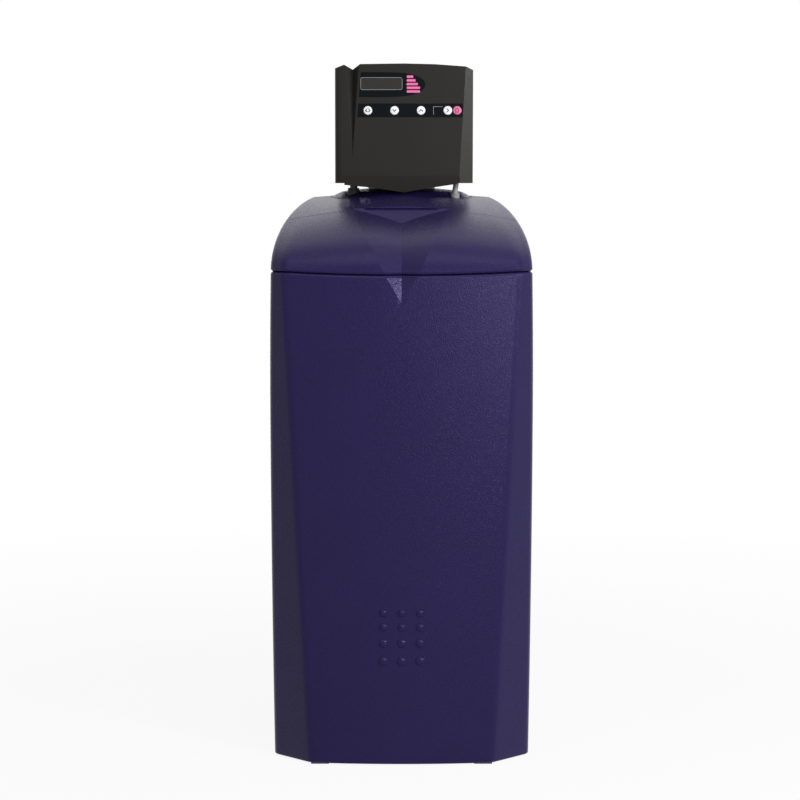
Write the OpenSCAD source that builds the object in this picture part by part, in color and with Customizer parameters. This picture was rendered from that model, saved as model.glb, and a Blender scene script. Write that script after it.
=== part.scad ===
// Cabinet water softener: salt bin, resin vessel, rotary disc valve and control head.
// Millimetres, +Z up, front towards -Y, origin on the floor under the middle of the object.

/* [Cabinet] */
// Width at the widest point of the cabinet
cabinet_w = 335; // [325:1:360]
// Depth from the front panel to the rear wall
cabinet_d = 465; // [450:1:520]
// Height of the rim that the lid and the rear cover sit on
rim_h = 630; // [600:1:680]
// Wall of the cabinet, the lid and the rear cover
wall = 4; // [3:0.25:5]
// Inset of the front panel's edge from the side at the rim
panel_top_in = 18.5; // [14:0.5:26]
// Inset of the front panel's edge from the side at the floor
panel_foot_in = 51.5; // [30:0.5:64]
// Forward bow of the front panel
panel_bow = 8; // [4:0.5:12]
// Height of the widest point of the cabinet
belly_h = 440; // [300:10:540]
// How far the walls draw in towards the floor
foot_draw = 2.8; // [0:0.1:6]
// How far the walls draw in towards the rim
rim_draw = 2; // [0:0.1:4]
// Radius of the rear corners
rear_corner_r = 30; // [20:1:45]
// Softening of the upright edges of the front panel
edge_soft = 6; // [3:0.5:8]
// Rounding of the rim and of the covers' lower edges
edge_r = 2.5; // [1:0.25:2.75]
// Dip of the rim at the middle of the front
rim_dip = 4; // [0:0.5:8]
// Height of the foot pads
foot_h = 2; // [2:0.5:8]
// Width of a foot pad
foot_w = 23; // [15:1:30]
// Length of a foot pad
foot_l = 40; // [25:1:60]

/* [Valley] */
// Distance of the valley's point below the rim
valley_drop = 41; // [30:1:60]
// Half width that the valley gains for each millimetre of height
valley_spread = 0.517; // [0.35:0.01:0.55]
// Depth that the valley gains for each millimetre of height
valley_slope = 0.2; // [0.1:0.01:0.22]

/* [Bumps] */
// Columns of bumps on the front panel
bump_columns = 3; // [1:1:5]
// Rows of bumps on the front panel
bump_rows = 4; // [1:1:6]
// Distance between two columns
bump_pitch_x = 23.2; // [16:0.2:30]
// Distance between the two highest rows
bump_pitch_z = 18.2; // [15:0.2:24]
// Growth of the distance from row to row
bump_pitch_gain = 2.4; // [0:0.2:4]
// Height of the top row above the floor
bump_top_h = 198; // [150:1:400]
// Diameter of a bump in the top row
bump_d = 9.2; // [6:0.2:12]
// Growth of the diameter from row to row
bump_gain = 0.6; // [0:0.1:1]
// How far a bump stands out
bump_rise = 2.4; // [1:0.1:3]

/* [Covers] */
// Rise of the covers from the rim to the shoulder
dome_h = 93; // [80:1:110]
// Inward run of the covers at the sides
dome_side = 58; // [45:1:65]
// Inward run of the covers at the front
dome_front = 270; // [250:1:290]
// Inward run of the covers at the rear
dome_rear = 40; // [25:1:50]
// Crown of the rear cover above its shoulder
dome_crown = 6; // [3:0.5:10]
// Depth of the lid, from the front panel to the seam
lid_d = 135; // [125:1:145]
// Gap between the lid and the rear cover
lid_gap = 2; // [1:0.25:3]
// Clearance between the lid and what it sits on
lid_clear = 0.3; // [0.2:0.05:0.6]
// Width of the finger recess at the seam
recess_w = 124; // [100:1:130]
// Reach of the finger recess into the lid
recess_d = 41; // [36:1:46]
// Step from the rear cover's edge down to the ramp of the recess
recess_step = 4.5; // [3:0.5:8]
// Fall of the ramp for each millimetre forward
recess_slope = 0.9; // [0.7:0.05:1.2]
// Radius of the collar round the valve's neck
collar_r = 98; // [90:1:102]
// Height of the collar's mouth above the shoulder
collar_rise = 9; // [6:0.5:10]

/* [Vessel] */
// Diameter of the resin vessel
tank_d = 206; // [190:1:212]
// Wall of the resin vessel
tank_wall = 4; // [3:0.5:6]
// Height of the vessel's two domes
tank_dome_h = 46; // [35:1:60]
// Gap between the vessel and the rear wall
tank_rear_gap = 10; // [6:1:20]
// Diameter of the vessel's neck
neck_d = 64; // [58:1:70]
// Height of the neck's mouth above the rim
neck_rise = 76; // [70:1:84]
// Height of the boot that the vessel stands in
boot_h = 80; // [66:1:120]
// Depth of the resin bed
bed_h = 370; // [200:10:420]
// Diameter of the riser tube
riser_d = 26.7; // [20:0.1:32]

/* [Valve] */
// Outer diameter of the threaded inlet and outlet ports
port_d = 26.4; // [20:0.1:33.2]
// Length of the threaded end of a port
port_l = 25; // [15:1:30]
// Distance between the inlet and the outlet
port_pitch = 80; // [66:1:90]
// Bore of the inlet and the outlet
port_bore_d = 19; // [14:0.5:22]
// Teeth of the drive gear
gear_teeth = 48; // [40:4:52]
// Teeth of the motor's pinion
pinion_teeth = 12; // [10:1:13]
// Module of the gear teeth
gear_module = 1.5; // [1.2:0.05:1.6]
// Width of the gear teeth
gear_face = 8; // [5:0.5:9]
// Diameter of the valve's shaft
shaft_d = 12; // [8:0.5:16]
// Diameter of the valve's discs
disc_d = 78; // [60:1:80]
// Running clearance on a radius
running = 0.05; // [0.02:0.01:0.1]

/* [Head] */
// Width of the control head
head_w = 186; // [176:1:200]
// Height of the head from its lower corners to its crown
head_h = 160; // [150:1:190]
// Height of the head's lower corners above the rim
head_rise = 110; // [108:1:118]
// Depth of the head
head_d = 185; // [175:1:200]
// Slope of the chin under the face, in degrees
chin_slope = 6; // [0:1:8]
// Distance of the head's front face before the vessel's axis
head_reach = 103; // [98:1:106]
// Sideways offset of the head from the vessel's axis
head_x = 3.4; // [0:0.2:6]
// Depth of the front cover
cover_d = 110; // [100:1:120]
// Wall of the head's covers
head_wall = 3; // [2.4:0.2:4]
// Drop of the pointed lip under the front face
lip_drop = 12.5; // [6:0.5:14]
// Height of the display window
window_h = 33; // [26:1:36]
// Width of the display window
window_w = 88; // [80:1:94]
// Thickness of the display window and the keypad strip
overlay_t = 1.2; // [0.8:0.1:1.6]
// Width of the readout
readout_w = 55; // [40:1:60]
// Height of the readout
readout_h = 15.5; // [10:0.5:18]
// Height of the keypad strip
strip_h = 18; // [15:1:20]
// Width of the keypad strip
strip_w = 141; // [138:0.5:141.5]
// Diameter of a key
key_d = 11.4; // [9:0.2:11.6]
// Travel of a key
key_travel = 0.8; // [0.4:0.1:1]
// Clearance round a key
key_clear = 0.25; // [0.2:0.05:0.3]

/* [Brine] */
// Diameter of the brine well
well_d = 80; // [70:1:90]
// Wall of the brine well
well_wall = 3; // [2:0.5:4]
// Height of the brine well's mouth below the rim
well_drop = 40; // [30:1:80]
// Travel of the float
float_travel = 60; // [30:5:120]
// Diameter of the float
float_d = 52; // [40:1:60]
// Diameter of the brine tube
brine_tube_d = 8; // [6:0.5:9]
// Diameter of the drain tube
drain_tube_d = 11; // [9:0.5:12]
// Diameter of the hose tails at the rear wall
tail_d = 18; // [14:0.5:22]
// Reach of the hose tails behind the rear wall
tail_reach = 25; // [18:1:30]
// Height of the salt grid above the floor
grid_h = 72; // [50:1:110]

/* [Hidden] */
$fn = 64;

// A sliver that makes cuts break through
eps = 0.5;
// Clearance between fixed pieces that sit in each other
seat = 0.2;

// Colours of the moulded parts
VIOLET = [0.17, 0.14, 0.31];
CHARCOAL = [0.19, 0.185, 0.18];
OVERLAY_BLACK = [0.09, 0.11, 0.12];
PINK = [0.88, 0.42, 0.62];
NATURAL = [0.85, 0.84, 0.80];

// Places of the cabinet
front_y = -(cabinet_d + tail_reach) / 2;
rear_y = front_y + cabinet_d;
floor_z = foot_h + wall;
valley_tip = rim_h - valley_drop;
// Half width of the columns beside the middle below the valley's point
valley_least = 3;
panel_top_w = cabinet_w - 2 * panel_top_in;
panel_foot_w = cabinet_w - 2 * panel_foot_in;
seam_y = front_y + lid_d;
cover_z = rim_h + seat;
lid_z = rim_h + lid_clear;
// Front of the rear cover, and the ramp of the finger recess before it
wall_y = seam_y + lid_gap / 2;
seam_z = cover_z + dome_h * sin(acos(1 - (lid_d - rim_draw) / dome_front));
recess_top = seam_z - recess_step;
ramp_run = recess_d + 6;
ramp_hw = recess_w / 2;
ramp_t = 1.4 * wall;
ledge_z = seam_z - 32;
ledge_reach = 14;
ledge_t = 3;
ledge_side = recess_w / 2 + 12;

// Places of the vessel and the valve
tank_r = tank_d / 2;
tank_y = rear_y - wall - tank_rear_gap - tank_r;
head_y = tank_y - head_reach;
head_z0 = rim_h + head_rise;
head_top = head_z0 + head_h;
boot_floor = 5;
boot_wall = 3;
tank_z0 = floor_z + boot_floor + seat;
neck_r = neck_d / 2;
neck_top = rim_h + neck_rise;
shoulder_z = neck_top - 58;
skirt_wall = 14;
skirt_r = neck_r + seat + skirt_wall;
skirt_z0 = neck_top - 18;
skirt_top = max(neck_top + 36, head_z0 + head_wall + 3);
o_ring_r = 2.5;
// Overlap of the riser with the lower strainer, and its wall
riser_lap = 8;
riser_wall = 2.5;
strainer_r = 25;
strainer_top = tank_z0 + tank_dome_h + 2;
slot_w = 2;
shelf_z = neck_top + 2 * o_ring_r;
riser_r = riser_d / 2;
axis_z = skirt_top + 63;
chamber_r = disc_d / 2 + 11;
flange_r = disc_d / 2 + 19;
flange_y = tank_y - 23;
flange_t = 6;
disc_t = 8;
chamber_depth = 20;
bonnet_t = 6;
// Screws of the bonnet and the rear housing
screw_r = 2;
screw_head_r = 4;
screw_head_h = 4;
screw_hole_r = screw_r + 0.1;
screw_l = 16;
bolt_turns = [0, 120, 240];
bolt_r = disc_d / 2 + 13;
manifold_y = tank_y + 22;
manifold_d = 30;
port_z = axis_z - 15;
port_shoulder_r = port_d / 2 + 2.3;
port_end_y = head_y + head_d + 15 + port_l;
port_start_y = port_end_y - port_l;
trunk_hw = 34;
stub_y = tank_y - 6;
stub_z = skirt_top + 20;
stub_r = 7;
elbow_r = stub_r + 1.5;
elbow_l = 16;
injector_y = manifold_y + 6;
injector_r = 11;
injector_z = stub_z - 4;
injector_x = -trunk_hw - 10;
injector_cap_t = 7;
injector_grip = 4;

// Places of the drive
gear_r = gear_teeth * gear_module / 2;
pinion_r = pinion_teeth * gear_module / 2;
gear_y = flange_y - bonnet_t - 10 - gear_face;
plate_t = 4;
plate_gap = 4;
plate_y = gear_y - plate_gap - plate_t;
motor_r = 22;
motor_l = 24;
motor_shaft_r = 3;
motor_shaft_l = 12;
pinion_x = gear_r + pinion_r;
post_r = 4;
plate_r = bolt_r + post_r + 2;
disc_gap = 0.1;
moving_y1 = flange_y + chamber_depth - disc_t - disc_gap;
// Ports of the discs, as shares of the disc's radius
disc_port_at = 0.62;
disc_port_r = 0.17 * disc_d / 2;
// Holes that lighten the gear, as shares of its radius
gear_hole_at = 0.62;
gear_hole_r = 0.2 * gear_r;
turbine_y = port_start_y - 30;
turbine_l = 12;
hub_r = 3.2;
axle_r = 1.5;
vane_l = 6;
vane_t = 1;
vane_pitch = 25;
spider_l = 4.6;
spider_t = 1.4;
mouth_y = stub_y - elbow_l;
socket_l = 6;

// Places of the head
head_hw = head_w / 2;
// Left rib, the notch beside it and the start of the panel, from the head's middle
rib_x = -head_hw + 12.5;
notch_x = -head_hw + 24;
panel_x = -head_hw + 34;
notch_deep = 9;
notch_foot = head_z0 + 28;
bevel_top_x = head_hw - 10;
bevel_foot_x = head_hw - 19;
bevel_turn = 33;
rib_round = 9;
// Sideways lean of the overlays' left edges, which follow the groove
overlay_lean = 0.085;
overlay_top_x = panel_x + 1.2;
window_mid_z = head_top - 28.3;
window_x = overlay_edge(window_mid_z);
readout_x = window_x + 1.4 + readout_w / 2;
readout_z = head_top - 26.9;
strip_mid_z = head_top - 62.6;
strip_x = overlay_edge(strip_mid_z);
key_xs = [-48.6, -12.8, 22.9, 58.8, 71.5];
key_hole_r = key_d / 2 + key_clear;
// How far the overlays stand out of the front face
overlay_proud = 0.2;
overlay_y = head_y - overlay_proud;
overlay_recess = overlay_t - overlay_proud + 0.05;
key_proud = 0.9;
key_flange_t = 1;
key_flange_gap = 0.3;
key_stem_r = 2;
switch_w = 6;
switch_t = 0.3;
chip_w = 18;
chip_t = 3;
key_flange_r = key_hole_r + 0.15;
board_gap = 8;
board_t = 1.6;
board_y = head_y + head_wall + board_gap;
key_stem_end = board_y - key_travel - 0.4;
// Edges of the hollow behind the face, from the head's middle
hollow_x0 = panel_x - 2;
hollow_x1 = bevel_foot_x + 5;
board_x0 = head_x + hollow_x0 + 0.5;
board_x1 = head_x + hollow_x1 - 0.5;
board_h = 70;
board_z0 = head_top - 85;
boss_r = 3.5;
boss_in = 4;
boss_zs = [strip_mid_z - 15, strip_mid_z + 15];
housing_inset = 1.5;
housing_top_drop = 12;
housing_round = 8;
housing_top = head_top - 9;
cover_ceiling = housing_top - head_wall;
cover_sill = head_z0 + head_wall;
cover_deep_y = head_y + 18;
head_rear_y = head_y + head_d;
// Distance of the housing's screws from its edges
screw_in = 14;
inlet_x = head_x + 0.62 * head_hw;
inlet_z = head_z0 + 20;
inlet_r = 5.5;
inlet_l = 12;
inlet_rim = 2;
jack_r = 2.8;
jack_l = 9;
jack_pin_r = 1;
chin_z = head_z0 + 10;
lip_t = 5;

// Places of the brine side
well_x = cabinet_w / 2 - wall - rim_draw - foot_draw - well_d / 2 - 8;
well_y = tank_y - tank_r - well_d / 2 - 14;
well_top = rim_h - well_drop;
well_cap_t = 6;
pickup_r = 8;
float_h = 60;
float_z = floor_z + 180;
stop_t = 6;
stop_r = 14;
valve_head_r = 18;
valve_head_h = 40;
valve_top = well_top - 3;
stop_gap = 0.3;
tail_x = cabinet_w / 2 - rear_corner_r - 24;
tail_z = rim_h - 70;
tail_flange_r = tail_d / 2 + 6;
tail_flange_t = 4;
tail_shank_r = tail_d / 2 + 1.5;
tail_shank_l = 18;
tail_bore_r = tail_d / 2 - 3;
nut_t = 8;
nut_r = tail_shank_r + 6;
grid_t = 4;
grid_gap = 3;
grid_pitch = 26;
grid_hole_r = 6;
grid_leg_r = 7;
well_slot_h = 30;
well_slot_w = 4;
cap_skirt_l = 10;
valve_foot_r = 20;
valve_foot_h = 30;
// Place of the drain tube beside the vessel
side_x = cabinet_w / 2 - wall - 26;

// Last angle of the covers' rise, where the crown starts
dome_last = 75;

// Upper line of the collar that closes the cover round the valve's neck, from its mouth outwards
collar_mouth_r = skirt_r + 3;
collar_top = cover_z + dome_h + collar_rise;
collar_edge = cover_z + dome_h * sin(dome_last) + 0.6;
collar_line = [[collar_mouth_r, collar_top],
    [mix(collar_mouth_r, collar_r, 0.5), collar_top - 2.5],
    [mix(collar_mouth_r, collar_r, 0.7), collar_top - 4.5],
    [mix(collar_mouth_r, collar_r, 0.86), mix(collar_top, collar_edge, 0.7)],
    [collar_r - 1.5, collar_edge],
    [collar_r + 3, collar_edge - 0.5]];

// Where the two tubes leave their elbows and pass the collar
brine_x = head_x + head_hw - 20;
drain_x = head_x - head_hw + 32;
brine_hole = [brine_x - 3.5, tank_y - 0.64 * collar_r];
drain_hole = [drain_x - 8, tank_y - 0.54 * collar_r];
grommet_wall = 2.2;
grommet_clear = 0.4;
grommet_h = 12;
brine_hole_z = collar_height(norm(brine_hole - [0, tank_y]));
drain_hole_z = collar_height(norm(drain_hole - [0, tank_y]));

function mix(a, b, t) = a + (b - a) * t;
function unit(v) = v / norm(v);
function flip(list) = [for (i = [len(list) - 1:-1:0]) list[i]];

// Inward draw of the cabinet's walls at a height
function draw_in(z) = z < belly_h ? foot_draw * pow((belly_h - z) / belly_h, 2)
    : rim_draw * pow((z - belly_h) / (rim_h - belly_h), 2);
function half_w(z) = cabinet_w / 2 - draw_in(z);
function panel_half(z) = mix(panel_foot_w, panel_top_w, z / rim_h) / 2;

// Three points that round the corner q between p and s
function soft_corner(p, q, s, e) = let (u = unit(p - q), v = unit(s - q))
    [q + e * u, q + e * (u + v) / 4, q + e * v];

// Right half of a plan outline, from beside the middle of the front round to the rear wall.
// w half width, a half width of the panel, f front, r rear, b bow, e softening,
// c rear corner radius, g half width of the valley
function half_plan(w, a, f, r, b, e, c, g) =
    let (reach = a - 1.2 * e,
        start = min(g, 0.9 * reach),
        bowed = [for (i = [0:6]) let (x = mix(start, reach, i / 6)) [x, f + b * pow(x / a, 2)]],
        q1 = [a, f + b],
        q2 = [w, f + b + w - a],
        turn = [for (i = [0:5]) let (t = 18 * i) [w - c + c * cos(t), r - c + c * sin(t)]])
    concat(bowed, soft_corner(bowed[6], q1, q2, e), soft_corner(q1, q2, [w, r - c], e), turn);

// Whole outline from its right half and the point in the middle of the front
function whole_plan(half, mid) = concat([for (p = flip(half)) [-p.x, p.y]], [mid], half);

// How far the rim dips at a point of the front
function dip(p, a) = p.y < 0 && abs(p.x) < a ? rim_dip * (1 - pow(p.x / a, 2)) : 0;

function valley_g(z, a) = max(valley_least, min(0.85 * a, valley_spread * (z - valley_tip)));
function valley_d(z) = max(0, valley_slope * (z - valley_tip));

// Ring of the cabinet at height z, o inside its outer face, with a share of the rim's dip
function cabinet_ring(z, o, dip_share = 0) =
    let (w = half_w(z) - o,
        a = panel_half(z) - o * tan(22.5),
        f = front_y + draw_in(z) + o,
        half = half_plan(w, a, f, rear_y - o, panel_bow, edge_soft, rear_corner_r - o, valley_g(z, a)))
    [for (p = whole_plan(half, [0, f + valley_d(z)])) [p.x, p.y, z - dip_share * dip(p, a)]];

// Ring of the covers at angle t of their rise, o inside their outer face, above height z0
function dome_ring(t, o, z0, valley) =
    let (k = 1 - cos(t),
        z = z0 + dome_h * sin(t) - o * sin(t),
        w = half_w(rim_h) - dome_side * k - o * cos(t),
        a = panel_top_w / 2 - 1.55 * dome_side * k - o * cos(t) * tan(22.5),
        f = front_y + rim_draw + dome_front * k + o * cos(t),
        r = rear_y - dome_rear * k - o * cos(t),
        b = panel_bow + 0.485 * dome_front * k,
        d = valley ? valley_d(z) * (1 + 2.5 * k) : 0,
        g = valley ? valley_g(z, a) : a / 8,
        c = rear_corner_r + 20 * k - o * cos(t),
        half = half_plan(w, a, f, r, b, edge_soft + 12 * k, c, g))
    [for (p = whole_plan(half, [0, f + d])) [p.x, p.y, z - max(0, 1 - 3 * sin(t)) * dip(p, a)]];

// Steps of the covers' rise
dome_steps = [for (i = [1:8]) dome_last * pow(i / 8, 0.85)];

// Moves a ring inwards and up along its lower edge, for the rounded edge
function lower_edge(z0, valley) = [dome_ring(0, wall, z0, valley),
    dome_ring(0, edge_r, z0, valley),
    lift(dome_ring(0, 0.3 * edge_r, z0, valley), 0.3 * edge_r),
    lift(dome_ring(0, 0, z0, valley), edge_r)];
function lift(ring, h) = [for (p = ring) p + [0, 0, h]];
function dome_mid_y(t) = let (k = 1 - cos(t)) (front_y + rear_y + (dome_front - dome_rear) * k) / 2;

// Closed solid through rings of equal count, closed at both ends by a point
module loft(rings, first, last) {
    n = len(rings[0]);
    m = len(rings);
    points = concat([for (r = rings) each r], [first, last]);
    sides = [for (k = [0:m - 2], i = [0:n - 1]) let (j = (i + 1) % n, p = k * n, q = p + n)
        each [[p + i, q + i, q + j], [p + i, q + j, p + j]]];
    start = [for (i = [0:n - 1]) [i, (i + 1) % n, m * n]];
    end = [for (i = [0:n - 1]) let (p = (m - 1) * n) [p + (i + 1) % n, p + i, m * n + 1]];
    polyhedron(points, concat(sides, start, end));
}

// Covers in one piece, as a shell between o_out and o_in
module dome_shell(z0, valley, o_out = 0, o_in = wall) {
    inner = [for (t = flip(dome_steps)) dome_ring(t, o_in, z0, valley)];
    outer = [for (t = dome_steps) dome_ring(t, o_out, z0, valley)];
    plain = [dome_ring(0, o_in, z0, valley), dome_ring(0, o_out, z0, valley)];
    edge = o_out == 0 ? lower_edge(z0, valley) : plain;
    top = z0 + dome_h + dome_crown;
    mid = dome_mid_y(dome_last);
    loft(concat(inner, edge, outer), [0, mid, top - o_in], [0, mid, top - o_out]);
}

// Solid space under the covers, o inside their outer face
module dome_core(z0, o) {
    rings = concat([dome_ring(0, o, z0, false)], [for (t = dome_steps) dome_ring(t, o, z0, false)]);
    mid = dome_mid_y(dome_last);
    loft(rings, [0, 0, z0], [0, mid, z0 + dome_h + dome_crown - o]);
}

// Block across the whole width between two depths and two heights
module slab(y0, y1, z0, z1, hw = cabinet_w) {
    translate([-hw, y0, z0]) cube([2 * hw, y1 - y0, z1 - z0]);
}

module rod_x(y, z, x0, x1, r) {
    translate([x0, y, z]) rotate([0, 90, 0]) cylinder(r = r, h = x1 - x0);
}

module rod_y(x, z, y0, y1, r) {
    translate([x, y0, z]) rotate([-90, 0, 0]) cylinder(r = r, h = y1 - y0);
}

module rod_z(x, y, z0, z1, r) {
    translate([x, y, z0]) cylinder(r = r, h = z1 - z0);
}

// Six-sided nut along Y, with its hole
module nut_y(x, z, y0, t, r, hole_r) {
    translate([x, y0, z]) rotate([-90, 0, 0]) difference() {
        cylinder(r = r, h = t, $fn = 6);
        translate([0, 0, -eps]) cylinder(r = hole_r, h = t + 2 * eps);
    }
}

// Tube swept along points, with its frame carried from ring to ring
module tube(route, r, sides = 10) {
    n = len(route);
    dirs = [for (i = [0:n - 1]) unit(route[min(i + 1, n - 1)] - route[max(i - 1, 0)])];
    ups = [for (i = 0, u = carry([1, 0, 0], dirs[0]);
        i < n;
        i = i + 1, u = carry(u, dirs[min(i, n - 1)])) u];
    rings = [for (i = [0:n - 1]) let (u = ups[i], v = cross(dirs[i], u))
        [for (s = [0:sides - 1]) route[i] + r * (cos(360 * s / sides) * u + sin(360 * s / sides) * v)]];
    loft(rings, route[0], route[n - 1]);
}
function carry(u, d) = unit(u - (u * d) * d);

// Smooth curve through hand-set points
function curve(p, per = 4) = let (n = len(p)) concat(
    [for (i = [0:n - 2], s = [0:per - 1])
        let (t = s / per, a = p[max(i - 1, 0)], b = p[i], c = p[i + 1], d = p[min(i + 2, n - 1)])
        b + 0.5 * t * ((c - a) + t * (2 * a - 5 * b + 4 * c - d) + t * t * (3 * b - a - 3 * c + d))],
    [p[n - 1]]);

// Outline of an involute spur gear
function involute(base, r) = let (t = sqrt(max(0, pow(r / base, 2) - 1))) t * 180 / PI - atan(t);
function gear_points(teeth, m, backlash = 0.25) =
    let (pitch = teeth * m / 2,
        base = pitch * cos(20),
        root = pitch - 1.25 * m,
        tip = pitch + 0.95 * m,
        radii = [root, max(base, root + 0.1), pitch, mix(pitch, tip, 0.6), tip],
        half0 = 90 / teeth - backlash / pitch * 90 / PI + involute(base, pitch))
    [for (k = [0:teeth - 1])
        let (mid = 360 * k / teeth)
        each concat([for (r = radii) polar(r, mid - half0 + involute(base, r))],
            [for (r = flip(radii)) polar(r, mid + half0 - involute(base, r))])];
function polar(r, t) = [r * cos(t), r * sin(t)];

module gear(x, z, y0, teeth, turn) {
    translate([x, y0, z]) rotate([90, 0, 0]) mirror([0, 0, 1]) linear_extrude(gear_face)
        rotate(turn) polygon(gear_points(teeth, gear_module));
}

// Cabinet and covers
module cabinet_shell() color(VIOLET) {
    levels = [for (i = [1:5]) mix(foot_h + edge_r, valley_tip, i / 5)];
    mid_z = mix(valley_tip, rim_h, 0.5);
    foot = [cabinet_ring(foot_h, edge_r), cabinet_ring(foot_h + edge_r, 0)];
    sides = [for (z = concat(levels, [mid_z])) cabinet_ring(z, 0)];
    rim = [lift(cabinet_ring(rim_h, 0, 1), -edge_r),
        lift(cabinet_ring(rim_h, 0.3 * edge_r, 1), -0.3 * edge_r),
        cabinet_ring(rim_h, edge_r, 1),
        cabinet_ring(rim_h, wall, 1)];
    inside = [for (z = concat([mid_z], flip(levels))) cabinet_ring(z, wall)];
    bottom = [cabinet_ring(floor_z, wall + edge_r)];
    difference() {
        loft(concat(foot, sides, rim, inside, bottom), [0, 0, foot_h], [0, 0, floor_z]);
        for (s = [-1, 1])
            rod_y(s * tail_x, tail_z, rear_y - wall - eps, rear_y + eps, tail_shank_r + seat);
    }
    for (c = [0:bump_columns - 1], r = [0:bump_rows - 1]) bump(c, r);
}

// Moulded bump on the front panel, larger from row to row
bump_profile = [[1, 0], [0.93, 0.38], [0.72, 0.72], [0.4, 0.93], [0, 1]];
module bump(c, r) {
    x = (c - (bump_columns - 1) / 2) * bump_pitch_x;
    z = bump_top_h - r * bump_pitch_z - bump_pitch_gain * r * (r - 1) / 2;
    d = bump_d + bump_gain * r;
    face_y = front_y + draw_in(z) + panel_bow * pow(x / panel_half(z), 2);
    root = wall / 2;
    translate([x, face_y + root, z]) rotate([90, 0, 0]) rotate_extrude($fn = 24)
        polygon(concat([[0, 0], [d / 2, 0]],
            [for (p = bump_profile) [p.x * d / 2, root + p.y * bump_rise]]));
}

foot_ys = [front_y + foot_draw + panel_bow + edge_r + 1, rear_y - rear_corner_r - foot_l];
module feet() color("dimgray")
    for (s = [-1, 1], y = foot_ys)
        translate([s * (panel_foot_w - foot_w) / 2 - foot_w / 2, y, 0]) cube([foot_w, foot_l, foot_h]);

module salt_lid() color(VIOLET) difference() {
    intersection() {
        dome_shell(lid_z, true);
        slab(front_y - eps, seam_y - lid_gap / 2, rim_h - 2 * rim_dip, rim_h + 2 * dome_h);
    }
    translate([0, 0, rim_h]) linear_extrude(2 * dome_h)
        polygon([[0, seam_y - recess_d], [recess_w / 2, seam_y - lid_gap / 2], [recess_w / 2, seam_y + eps],
            [-recess_w / 2, seam_y + eps], [-recess_w / 2, seam_y - lid_gap / 2]]);
}

module rear_cover() color(VIOLET) {
    sky = rim_h + 2 * dome_h;
    under = wall + lid_clear + seat;
    difference() {
        union() {
            difference() {
                intersection() {
                    dome_shell(cover_z, false);
                    slab(wall_y, rear_y + eps, rim_h - eps, sky);
                }
                rod_z(0, tank_y, rim_h, sky, collar_r);
            }
            collar();
            // Bulkhead between the salt bin and the valve's side
            intersection() {
                dome_core(cover_z, wall / 2);
                slab(wall_y, wall_y + wall, ledge_z, sky);
            }
            // Ledge that the lid's rear edge lies on
            difference() {
                intersection() {
                    dome_shell(cover_z, false, under, under + ledge_t);
                    slab(seam_y - ledge_reach, wall_y + wall / 2, ledge_z, sky);
                }
                slab(seam_y - 2 * ledge_reach, wall_y - eps, rim_h, sky, ledge_side);
            }
            recess_ramp();
        }
        rod_z(brine_hole.x, brine_hole.y, rim_h, head_top, brine_tube_d / 2 + grommet_wall + seat);
        rod_z(drain_hole.x, drain_hole.y, rim_h, head_top, drain_tube_d / 2 + grommet_wall + seat);
    }
}

// Ramp that falls from the rear cover's edge to under the lid's notch, for the fingers
module recess_ramp() {
    low_y = wall_y - ramp_run;
    low_z = recess_top - recess_slope * ramp_run;
    back_y = wall_y + wall;
    intersection() {
        rotate([90, 0, 90]) linear_extrude(2 * ramp_hw, center = true)
            polygon([[back_y, recess_top], [wall_y, recess_top], [low_y, low_z], [low_y, low_z - ramp_t],
                [wall_y, recess_top - ramp_t], [back_y, recess_top - ramp_t]]);
        translate([0, 0, rim_h]) linear_extrude(2 * dome_h)
            polygon([[0, seam_y - ramp_run], [ramp_hw, seam_y], [ramp_hw, back_y],
                [-ramp_hw, back_y], [-ramp_hw, seam_y]]);
    }
}

// Height of the collar at a distance from the vessel's axis
function collar_height(r) = lookup(r, collar_line);

module collar() {
    turned(concat(collar_line, [[collar_r + 3, collar_edge - 2.5],
        [collar_r - 4, collar_edge - 2.5],
        [mix(collar_mouth_r, collar_r, 0.6), collar_top - 3.5 - wall],
        [collar_mouth_r, collar_top - wall]]));
}

// Resin vessel
module turned(points) {
    translate([0, tank_y, 0]) rotate_extrude() polygon(points);
}

// Outline of the vessel, o inside its outer face
function tank_outline(o) =
    let (r = tank_r - o,
        h = tank_dome_h - o,
        low_z = tank_z0 + tank_dome_h,
        high_z = shoulder_z - tank_dome_h,
        n = neck_r - o,
        top_t = acos(n / r),
        mouth = neck_top + (o > 0 ? eps : 0))
    concat([for (i = [0:8]) let (t = 90 - 90 * i / 8) [r * cos(t), low_z - h * sin(t)]],
        [for (i = [0:7]) let (t = top_t * i / 7) [r * cos(t), high_z + h * sin(t)]],
        [[n, mouth], [0, mouth]]);

module resin_tank() color("steelblue") difference() {
    turned(tank_outline(0));
    turned(tank_outline(tank_wall));
}

module tank_boot() color("black") {
    inner = tank_r + seat;
    outer = inner + boot_wall;
    turned([[0, floor_z], [outer, floor_z], [outer, floor_z + boot_h], [inner, floor_z + boot_h],
        [inner, floor_z + boot_floor], [0, floor_z + boot_floor]]);
}

module resin_bed() color("goldenrod") difference() {
    rod_z(0, tank_y, strainer_top + seat, strainer_top + bed_h, tank_r - tank_wall - seat);
    rod_z(0, tank_y, strainer_top, strainer_top + bed_h + eps, riser_r + seat);
}

module riser_tube() color("gainsboro") difference() {
    rod_z(0, tank_y, strainer_top - riser_lap, shelf_z - 2, riser_r);
    rod_z(0, tank_y, strainer_top - riser_lap - eps, shelf_z, riser_r - riser_wall);
}

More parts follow.
